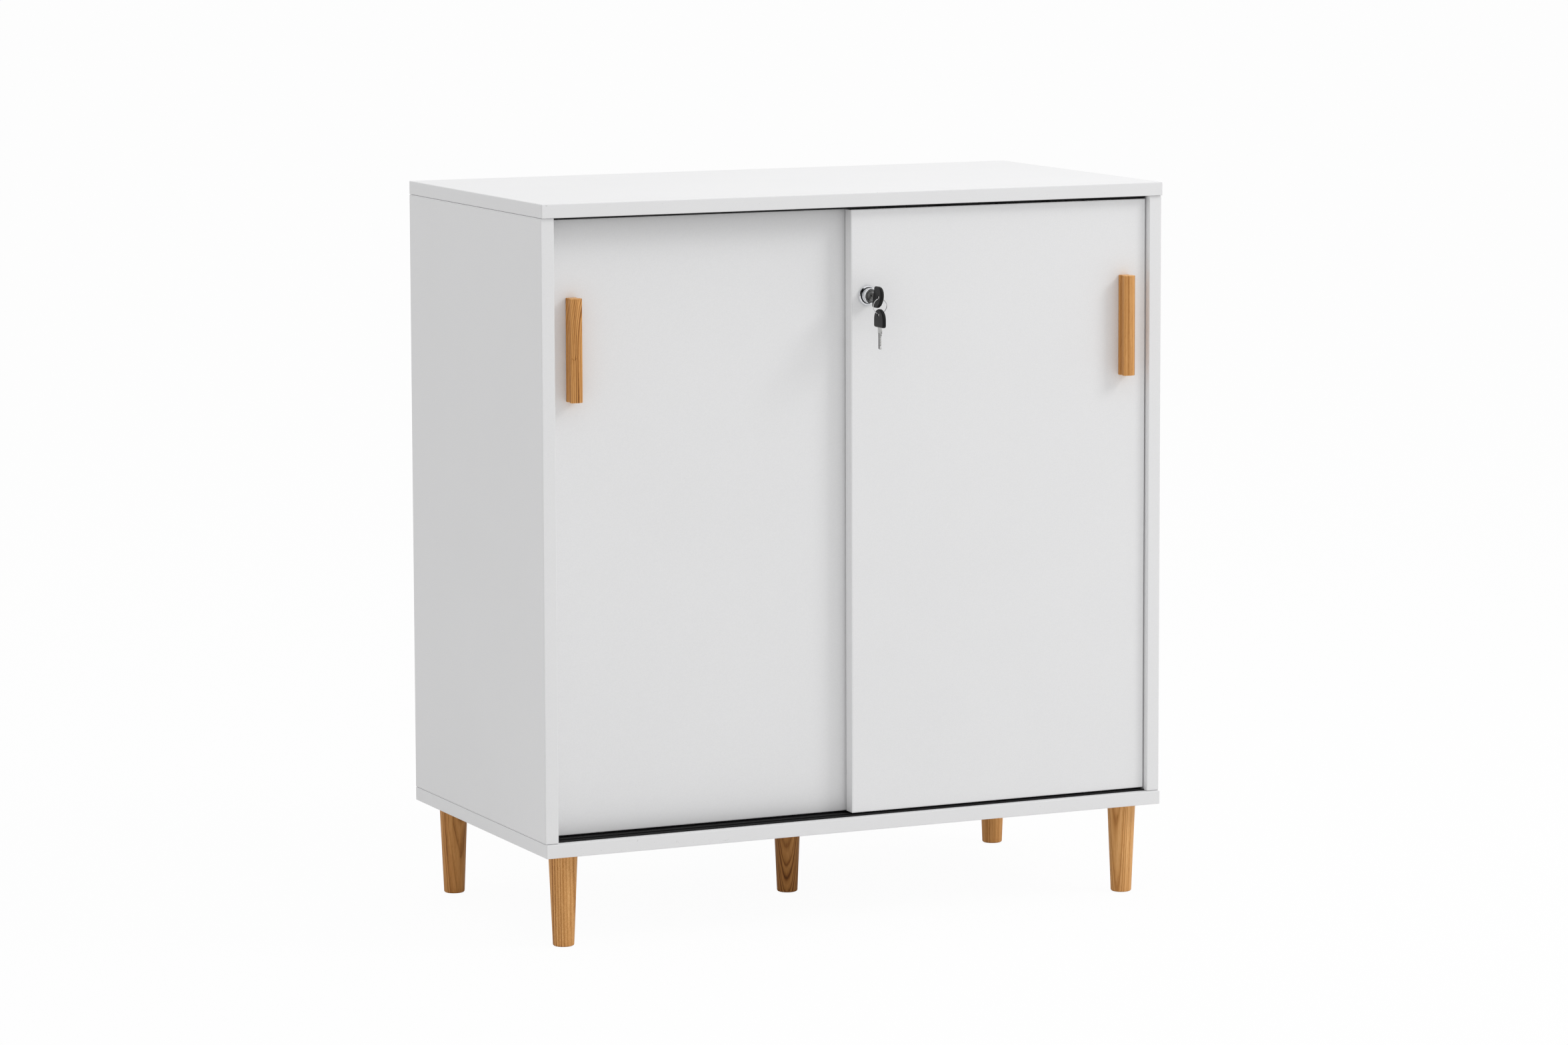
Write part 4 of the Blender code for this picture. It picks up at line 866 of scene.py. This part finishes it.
# Push lock: a chromed rosette on the door's face, with a steel housing let in from behind.
# The chromed barrel stands out of it until it is pushed in, and its plug takes the key.
CHROME = (0.80, 0.81, 0.83)
PLUG_STEEL = (0.30, 0.30, 0.30)
# Black for the painted shade in the lock's recesses; the dark cards are this black too.
PAINTED_SHADE_AND_CARD_BLACK = (0.012, 0.012, 0.012)
LOCK_SIDES = 96
ROSETTE_BORE_RADIUS = 0.0100
ROSETTE_LAND = 0.0004
ROSETTE_FOOT = 0.0007
ROSETTE_STEPS = 10
ROSETTE_CROWN = 0.10
BARREL_RIM = 0.0014
BARREL_ROUNDING = 0.0005
BARREL_ROUNDING_MIDDLE = 0.3
BARREL_GROOVE = 0.0003
BARREL_GROOVE_PLACE = 0.56
# Stretches of the barrel's mouth that take the black painted shade.
PAINTED_SHADE_BARREL_MOUTH = (11, 12, 13)
PLUG_SHANK_RADIUS = 0.0052
PLUG_GAP = 0.0003
PLUG_HEAD = 0.0026
PLUG_CHAMFER = 0.0003
PLUG_RING_FROM_EDGE = 0.0011
PLUG_RING_WIDTH = 0.0007
PLUG_RING_SLOPE = 0.0002
PLUG_RING_DEPTH = 0.0003
# The floor of the ring groove in the plug's face takes the black painted shade.
PAINTED_SHADE_RING_FLOOR = (7,)
KEYWAY_HALF_WIDTH = 0.0013
KEYWAY_HALF_HEIGHT = 0.0028
KEY_TILT = math.radians(8)
POLISH_SCALE = 2600.0
POLISH_STRETCH = (1.0, 0.15, 1.0)
POLISH_SHADE = 0.10
POLISH_ROUGHNESS_SPAN = 0.05
POLISH_BUMP = 0.000003
TURNING_PITCH = 0.00022
TURNING_SHADE = 0.12
TURNING_BUMP = 0.00006
STAIN_SCALE = 900.0
STAIN_SHADE = 0.28
STAIN_ROUGHNESS_SPAN = 0.08


def chrome_plate(name, colour, roughness):
    """Chrome plate with faint polishing marks."""
    finish = Finish(name, {"Metallic": 1.0})
    polish = finish.noise(finish.place(POLISH_STRETCH), POLISH_SCALE)
    shade = around(METAL_BRIGHTNESS, (polish, POLISH_SHADE))
    finish.feed("Base Color", finish.tint(colour, shade))
    finish.feed("Roughness", around(roughness, (polish, POLISH_ROUGHNESS_SPAN)))
    finish.bump(polish, POLISH_BUMP)
    return finish.material


def turned_steel(name, colour, roughness, x, z):
    """Steel faced on a lathe: fine rings about the lock's axis, which lies along Y."""
    finish = Finish(name, {"Metallic": 1.0})
    off_axis = finish.vector("SUBTRACT", finish.place(), (x, 0.0, z))
    off_axis = finish.vector("MULTIPLY", off_axis, (1.0, 0.0, 1.0))
    ring = (finish.length(off_axis) / TURNING_PITCH) % 1.0
    stain = finish.noise(finish.place(), STAIN_SCALE, detail=3.0)
    shade = around(1.0, (ring, TURNING_SHADE), (stain, STAIN_SHADE))
    finish.feed("Base Color", finish.tint(colour, shade))
    finish.feed("Roughness", around(roughness, (stain, STAIN_ROUGHNESS_SPAN)))
    finish.bump(abs(ring - 0.5), TURNING_BUMP)
    return finish.material


chrome = chrome_plate("chrome_plate", CHROME, roughness=0.095)
# A black that is painted shade, for the rosette's bore, the barrel's mouth and the floor of the
# plug's ring groove.
painted_shade_finish = black_plastic(
    "blackened_bore", PAINTED_SHADE_AND_CARD_BLACK, roughness=0.67, gloss=0.15, scale=1400.0, bump=0.00001,
)
plug_steel = turned_steel("turned_plug_steel", PLUG_STEEL, roughness=0.20, x=lock_x, z=lock_z)


def make_turned_metal(name, node, body, profile, inner, material, cutter=None):
    """A turned piece of the lock. Its profile is given as (radius, distance out of the door's
    face), and the stretches that inner numbers take a black that is painted shade."""
    bm = bmesh.new()
    add_turned(bm, profile, LOCK_SIDES, from_face, inner)
    piece = new_piece(name, bm, material, painted_shade_finish)
    if cutter is not None:
        carve(piece, cutter)
    return fit(soften(piece), body, "chrome", node)


low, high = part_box("lock_rosette")
rim = (high.x - low.x) / 2
front = door_face - low.y
back = door_face - high.y
land = ROSETTE_BORE_RADIUS + ROSETTE_LAND
profile = [(ROSETTE_BORE_RADIUS, back), (rim, back)]
for step in range(ROSETTE_STEPS + 1):
    share = step / ROSETTE_STEPS
    crown = ROSETTE_CROWN * math.sin(math.pi * share)
    profile.append((
        land + (rim - land) * min(1.0, 1.0 - share + crown),
        back + ROSETTE_FOOT + (front - back - ROSETTE_FOOT) * min(1.0, share + crown),
    ))
profile.append((ROSETTE_BORE_RADIUS, front - ROSETTE_LAND / 2))
# The rosette's bore wall takes the black painted shade.
bore = (len(profile) - 1,)
make_turned_metal("chromed_rosette", "lock_rosette", "right_door", profile, bore, chrome)

plug_low, plug_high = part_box("lock_plug")
plug_front = door_face - plug_low.y
plug_back = door_face - plug_high.y
plug_head = (plug_high.x - plug_low.x) / 2
low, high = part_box("lock_barrel")
outer = (high.x - low.x) / 2
proud = door_face - low.y
tail = door_face - high.y
mouth = outer - BARREL_RIM
band = proud * BARREL_GROOVE_PLACE
bend = BARREL_ROUNDING * BARREL_ROUNDING_MIDDLE
seat = plug_front - PLUG_HEAD - PLUG_GAP
make_turned_metal("chromed_barrel", "lock_barrel", "push_barrel", (
    (PLUG_SHANK_RADIUS + PLUG_GAP, tail),
    (outer - BARREL_ROUNDING, tail),
    (outer, tail + BARREL_ROUNDING),
    (outer, band - 2 * BARREL_GROOVE),
    (outer - BARREL_GROOVE, band - BARREL_GROOVE),
    (outer - BARREL_GROOVE, band + BARREL_GROOVE),
    (outer, band + 2 * BARREL_GROOVE),
    (outer, proud - BARREL_ROUNDING),
    (outer - bend, proud - bend),
    (outer - BARREL_ROUNDING, proud),
    (mouth + BARREL_GROOVE, proud),
    (mouth, proud - BARREL_GROOVE),
    (mouth, seat),
    (PLUG_SHANK_RADIUS + PLUG_GAP, seat),
), PAINTED_SHADE_BARREL_MOUTH, chrome)

tilted = Matrix.Translation((lock_x, 0.0, lock_z)) @ Matrix.Rotation(KEY_TILT, 4, "Y")
along_lock = tilted @ Matrix.Rotation(QUARTER_TURN, 4, "X")
keyway = [
    (across * KEYWAY_HALF_WIDTH, up * KEYWAY_HALF_HEIGHT)
    for across, up in ((-1, -1), (1, -1), (1, 1), (-1, 1))
]
bm = bmesh.new()
add_prism(bm, keyway, -plug_high.y - OVERRUN, OVERRUN - plug_low.y, along_lock)
ring_outer = plug_head - PLUG_RING_FROM_EDGE
ring_inner = ring_outer - PLUG_RING_WIDTH
ring_floor = plug_front - PLUG_RING_DEPTH
make_turned_metal("keyed_plug", "lock_plug", "turning_plug", (
    (0, plug_back),
    (PLUG_SHANK_RADIUS, plug_back),
    (PLUG_SHANK_RADIUS, plug_front - PLUG_HEAD),
    (plug_head, plug_front - PLUG_HEAD),
    (plug_head, plug_front - PLUG_CHAMFER),
    (plug_head - PLUG_CHAMFER, plug_front),
    (ring_outer, plug_front),
    (ring_outer - PLUG_RING_SLOPE, ring_floor),
    (ring_inner + PLUG_RING_SLOPE, ring_floor),
    (ring_inner, plug_front),
    (0, plug_front),
), PAINTED_SHADE_RING_FLOOR, plug_steel, bm)
dress(zinc, "lock_housing", "lock_bolt", "lock_screw_1", "lock_screw_2")


# Keeper: a thin plated steel plate screwed to the left door's face, beside which the
# lock's bolt lands.
dress(zinc, "lock_keeper", "keeper_screw_1", "keeper_screw_2")


# Keys: a plated steel blade, milled along both faces and cut along one edge, moulded into a
# black plastic bow with well-rounded edges. The steel shows as an eyelet inside the bow's
# hole. One key is in the lock and the spare hangs below it.
KEY_BLACK = (0.0045, 0.0045, 0.005)
KEY_STEEL = (0.60, 0.60, 0.59)
PAINTED_SHADE_MILLED_GREY = (0.16, 0.16, 0.16)
PAINTED_HIGHLIGHT_EYELET_WHITE = (0.90, 0.90, 0.89)
BOW_STRAIGHT = 0.0090
BOW_CORNER = 0.0026
BOW_ROUNDING = 0.0014
BOW_ARRIS_STEPS = 6
BLADE_ARRIS_STEPS = 2
BOW_ARCH_STEPS = 28
BOW_CORNER_STEPS = 5
BOW_HOLE_RADIUS = 0.0022
BOW_HOLE_FROM_END = 0.0067
BOW_HOLE_SIDES = 32
EYELET_WALL = 0.0004
EYELET_HALF_THICKNESS = 0.0014
BLADE_WIDTH = 0.0050
BLADE_THICKNESS = 0.0020
SHOULDER_WIDTH = 0.0078
SHOULDER_LENGTH = 0.0075
SHOULDER_FLARE = 0.0009
TIP_CHAMFER = 0.5
BLADE_ROUNDING = 0.00018
MILLING_DEPTH = 0.0007
MILLING_WIDTH = 0.0018
MILLING_OFFSET = 0.0009
MILLING_RUNOUT = 0.0010
BLADE_CUTS = (
    (0.14, 0.00), (0.19, 0.24), (0.26, 0.24), (0.31, 0.05), (0.36, 0.34),
    (0.43, 0.34), (0.48, 0.10), (0.53, 0.28), (0.59, 0.28), (0.64, 0.04),
    (0.70, 0.32), (0.77, 0.32), (0.84, 0.08),
)
ALONG_KEY = Matrix(((0, 1, 0, 0), (1, 0, 0, 0), (0, 0, 1, 0), (0, 0, 0, 1)))
bow_black = black_plastic(
    "key_bow_plastic", KEY_BLACK, roughness=0.36, gloss=0.24, scale=1800.0, bump=0.00001,
)
key_steel = plated_steel("key_steel", KEY_STEEL, 0.27)
# The milled slots are painted dark grey, painted shade in the slots; their rougher finish is real.
milled_steel = plated_steel("milled_steel", PAINTED_SHADE_MILLED_GREY, 0.41)
# The eyelet's steel is painted brighter than the blade's, a painted highlight inside the bow's
# hole.
eyelet_steel = plated_steel("eyelet_steel", PAINTED_HIGHLIGHT_EYELET_WHITE, 0.56)
tip, blade_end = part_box("spare_key_blade")
bow_low, bow_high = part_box("spare_key_bow")
bow_start = bow_low.z - tip.z
bow_end = bow_high.z - tip.z
ring_hole = bow_end - BOW_HOLE_FROM_END


def bow_outline(width):
    """The bow as (distance across, distance from the tip): round corners and an arched end."""
    half = width / 2
    side = []
    for step in range(BOW_CORNER_STEPS + 1):
        turn = math.pi / 2 * step / BOW_CORNER_STEPS
        across = half - BOW_CORNER * (1 - math.sin(turn))
        side.append((across, bow_start + BOW_CORNER * (1 - math.cos(turn))))
    arch = []
    arch_start = bow_start + BOW_STRAIGHT
    for step in range(BOW_ARCH_STEPS + 1):
        turn = math.pi * step / BOW_ARCH_STEPS
        rise = (bow_end - arch_start) * math.sin(turn)
        arch.append((half * math.cos(turn), arch_start + rise))
    return side + arch + mirrored(side)


def blade_outline(length):
    """The steel as (distance across, distance from the tip): cut blade, shoulder and tang."""
    half = BLADE_WIDTH / 2
    shoulder = SHOULDER_WIDTH / 2
    point = [(half * TIP_CHAMFER, 0.0), (half, half * TIP_CHAMFER)]
    stem = [
        (half, length),
        (shoulder, length + SHOULDER_FLARE / 2),
        (shoulder, bow_start - 2 * SHOULDER_FLARE),
        (shoulder + SHOULDER_FLARE, bow_start),
        (shoulder + SHOULDER_FLARE, blade_end.z - tip.z),
    ]
    cuts = [(BLADE_WIDTH * depth - half, length * (1 - along)) for along, depth in BLADE_CUTS]
    return point + stem + mirrored(stem) + cuts + mirrored(point)


def mill_faces(blade, length, stand):
    """Mills a slot with slanting sides along each face of the blade."""
    bm = bmesh.new()
    right = MILLING_OFFSET + MILLING_WIDTH / 2
    left = MILLING_OFFSET - MILLING_WIDTH / 2
    slant = MILLING_DEPTH / 2
    for face in (-1, 1):
        outside = face * BLADE_THICKNESS
        floor = face * (BLADE_THICKNESS / 2 - MILLING_DEPTH)
        slot = [(right + slant, outside), (right, floor), (left, floor), (left - slant, outside)]
        add_prism(bm, slot, -OVERRUN, length + MILLING_RUNOUT, stand @ ALONG_KEY)
    # The slots' faces take the dark steel: painted shade in the slots.
    for face in bm.faces:
        face.material_index = 1
    carve(blade, bm)


def add_eyelet(blade, hole_stand):
    """Adds the steel that shows inside the bow's hole."""
    bm = bmesh.new()
    inner = BOW_HOLE_RADIUS - EYELET_WALL
    outer = BOW_HOLE_RADIUS + EYELET_WALL
    half = EYELET_HALF_THICKNESS
    profile = ((inner, -half), (outer, -half), (outer, half), (inner, half))
    add_turned(bm, profile, BOW_HOLE_SIDES, hole_stand)
    # The eyelet takes the bright steel: a painted highlight inside the hole.
    for face in bm.faces:
        face.material_index = 2
    bm.from_mesh(blade.data)
    bmesh.ops.recalc_face_normals(bm, faces=bm.faces)
    bm.to_mesh(blade.data)
    bm.free()


def make_key(key, stand, body):
    """A key: stand puts its tip at the origin, its length along Z and its width along Y."""
    to_hole = Matrix.Translation((0.0, 0.0, ring_hole))
    hole_stand = stand @ to_hole @ Matrix.Rotation(QUARTER_TURN, 4, "Y")
    length = bow_start - SHOULDER_LENGTH
    half = BLADE_THICKNESS / 2
    bm = bmesh.new()
    add_prism(bm, blade_outline(length), -half, half, stand @ ALONG_X)
    blade = new_piece(key + "_steel_blade", bm, key_steel, milled_steel, eyelet_steel)
    mill_faces(blade, length, stand)
    even_normals(round_arrises(blade, BLADE_ROUNDING, BLADE_ARRIS_STEPS))
    add_eyelet(blade, hole_stand)
    fit(soften(blade), body, "zinc_plated_steel", key + "_blade")

    half = (bow_high.x - bow_low.x) / 2
    bm = bmesh.new()
    add_prism(bm, bow_outline(bow_high.y - bow_low.y), -half, half, stand @ ALONG_X)
    bow = new_piece(key + "_moulded_bow", bm, bow_black)
    round_arrises(bow, BOW_ROUNDING, BOW_ARRIS_STEPS)
    bm = bmesh.new()
    ends = ((0, -OVERRUN * 2), (BOW_HOLE_RADIUS, -OVERRUN * 2))
    hole = ends + tuple((radius, -height) for radius, height in reversed(ends))
    add_turned(bm, hole, BOW_HOLE_SIDES, hole_stand)
    carve(bow, bm)
    fit(even_normals(bow), body, "black_plastic", key + "_bow")


hanging = Matrix.Translation(((tip.x + blade_end.x) / 2, (tip.y + blade_end.y) / 2, tip.z))
make_key("spare_key", hanging, "spare_key")
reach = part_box("key_blade")[1].y
inserted = Matrix.Translation((lock_x, reach, lock_z)) @ Matrix.Rotation(KEY_TILT, 4, "Y")
make_key("key", inserted @ Matrix.Rotation(QUARTER_TURN, 4, "X"), "turning_plug")


# Key ring: a split ring, two turns of bright spring steel wire lying side by side, through
# the holes of both bows.
RING_STEEL = (0.74, 0.74, 0.75)
WIRE_WIDTH = 0.00052
WIRE_THICKNESS = 0.00095
WIRE_SIDES = 12
WIRE_PITCH = 1.04
RING_SLACK = 0.0013
RING_STEPS = 180
RING_ENDS = math.radians(200)
CROSSING_START = 0.9
CROSSING_SHARE = 0.2
ring_steel = plated_steel("ring_steel", RING_STEEL, 0.17)
low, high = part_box("key_ring")
spare_hole = bow_high.z - BOW_HOLE_FROM_END
radius = (lock_z - spare_hole) / 2 - RING_SLACK
centre = Vector(((low.x + high.x) / 2, (low.y + high.y) / 2, (lock_z + spare_hole) / 2))


def wire_loop(bm, turns):
    """The wire's corners, the given number of turns round from its first end."""
    crossing = min(1.0, max(0.0, (turns - CROSSING_START) / CROSSING_SHARE))
    crossing = crossing * crossing * (3 - 2 * crossing)
    aside = WIRE_WIDTH * WIRE_PITCH * (crossing - 0.5)
    turn = math.tau * turns + RING_ENDS
    outward = Vector((math.cos(turn), 0.0, math.sin(turn)))
    corners = []
    for side in range(WIRE_SIDES):
        angle = math.tau * side / WIRE_SIDES
        point = centre + outward * (radius + WIRE_THICKNESS / 2 * math.cos(angle))
        point.y += aside + WIRE_WIDTH / 2 * math.sin(angle)
        corners.append(bm.verts.new(point))
    return corners


bm = bmesh.new()
wire = [wire_loop(bm, 2 * step / RING_STEPS) for step in range(RING_STEPS + 1)]
for one, other in zip(wire, wire[1:]):
    for side in range(WIRE_SIDES):
        after = (side + 1) % WIRE_SIDES
        bm.faces.new((one[side], one[after], other[after], other[side]))
bm.faces.new(wire[0])
bm.faces.new(wire[-1][::-1])
split_ring = new_piece("split_key_ring", bm, ring_steel)
fit(soften(split_ring), "ring", "zinc_plated_steel", "key_ring")


# Studio: a pale floor, a bright room all round, a large soft lamp high up on the right, which
# puts the handles' soft shadows on the left, and another overhead. Two dark cards, seen only
# in the metal and the gloss, stand at the left and at the right for contrast.
CAMERA_PLACE = (-2.7757, -6.0366, 1.3432)
CAMERA_YAW = -0.4477
CAMERA_PITCH = 0.1185
CAMERA_ROLL = -0.0011
CAMERA_LENS = 127.56
CAMERA_SHIFT = (-0.060, -0.0528)
WHITE = (1.0, 1.0, 1.0)
FLOOR_GREY = (0.88, 0.88, 0.88)
FLOOR_SIZE = 80.0
FLOOR_GLOW_SHARE = 0.955
ROOM_LIGHT = 0.681
CUPBOARD_MIDDLE = (0.0, 0.0, 0.6)

camera_data = bpy.data.cameras.new("camera")
camera = bpy.data.objects.new("camera", camera_data)
bpy.context.scene.collection.objects.link(camera)
facing = Matrix.Rotation(CAMERA_YAW, 4, "Z")
facing = facing @ Matrix.Rotation(QUARTER_TURN - CAMERA_PITCH, 4, "X")
facing = facing @ Matrix.Rotation(CAMERA_ROLL, 4, "Z")
camera.matrix_world = Matrix.Translation(CAMERA_PLACE) @ facing
camera_data.lens = CAMERA_LENS
camera_data.sensor_width = 36.0
camera_data.shift_x, camera_data.shift_y = CAMERA_SHIFT
camera_data.clip_end = 200.0
bpy.context.scene.camera = camera

world = bpy.data.worlds.new("bright_room")
bpy.context.scene.world = world
world.use_nodes = True
room = Nodes(world.node_tree)
seen = room.node("ShaderNodeLightPath", {}, {}, "Is Camera Ray")
glossy = room.node("ShaderNodeLightPath", {}, {}, "Is Glossy Ray")
through = room.node("ShaderNodeLightPath", {}, {}, "Is Transmission Ray")
light = room.node("ShaderNodeBackground", {}, {"Color": WHITE, "Strength": ROOM_LIGHT})
backdrop = room.node("ShaderNodeBackground", {}, {"Color": WHITE, "Strength": 1.0})
bright = seen + glossy + through
shown = room.node("ShaderNodeMixShader", {}, {0: bright, 1: light, 2: backdrop})
room.join(room.tree.nodes["World Output"].inputs["Surface"], shown)

bm = bmesh.new()
bmesh.ops.create_grid(bm, x_segments=1, y_segments=1, size=FLOOR_SIZE / 2)
paper = Finish("pale_floor", {"Base Color": FLOOR_GREY, "Roughness": 0.9})
seen = paper.node("ShaderNodeLightPath", {}, {}, "Is Camera Ray")
glow = paper.node("ShaderNodeEmission", {}, {"Color": WHITE, "Strength": 1.0})
lit = Link(paper, paper.shader.outputs[0])
shown = paper.node("ShaderNodeMixShader", {}, {0: seen * FLOOR_GLOW_SHARE, 1: lit, 2: glow})
paper.join(paper.tree.nodes["Material Output"].inputs["Surface"], shown)
new_piece("floor", bm, paper.material)


def aim(thing, place, target):
    """Stands a lamp or a card at a place, facing a target."""
    turn = (Vector(target) - Vector(place)).to_track_quat("-Z", "Y")
    thing.matrix_world = Matrix.Translation(place) @ turn.to_matrix().to_4x4()


def add_lamp(name, place, size, power):
    """A square soft lamp. Gloss doesn't show it, so that no board shines white."""
    data = bpy.data.lights.new(name, "AREA")
    data.shape = "SQUARE"
    data.size = size
    data.energy = power
    lamp = bpy.data.objects.new(name, data)
    bpy.context.scene.collection.objects.link(lamp)
    lamp.visible_glossy = False
    aim(lamp, place, CUPBOARD_MIDDLE)


def add_card(name, place, width, height):
    """A black card, turned to the lock, that only reflections see."""
    bm = bmesh.new()
    bmesh.ops.create_grid(bm, x_segments=1, y_segments=1, size=0.5)
    bmesh.ops.scale(bm, vec=(width, height, 1.0), verts=bm.verts)
    card = new_piece(name, bm, card_black)
    aim(card, place, lock_centre)
    for kind in ("camera", "diffuse", "transmission", "volume_scatter", "shadow"):
        setattr(card, "visible_" + kind, False)


add_lamp("soft_lamp", place=(3.2, -2.3, 3.4), size=1.4, power=60.0)
add_lamp("overhead_lamp", place=(0.1, -0.4, 3.2), size=3.0, power=18.8)
card_black = black_plastic(
    "card_black", PAINTED_SHADE_AND_CARD_BLACK, roughness=0.92, gloss=0.0, scale=50.0, bump=0.0,
)
add_card("left_card", place=(-2.0, -1.62, 2.2), width=2.4, height=4.0)
add_card("right_card", place=(1.8, -3.6, 0.35), width=2.2, height=0.9)

bpy.context.scene.view_settings.view_transform = "Standard"
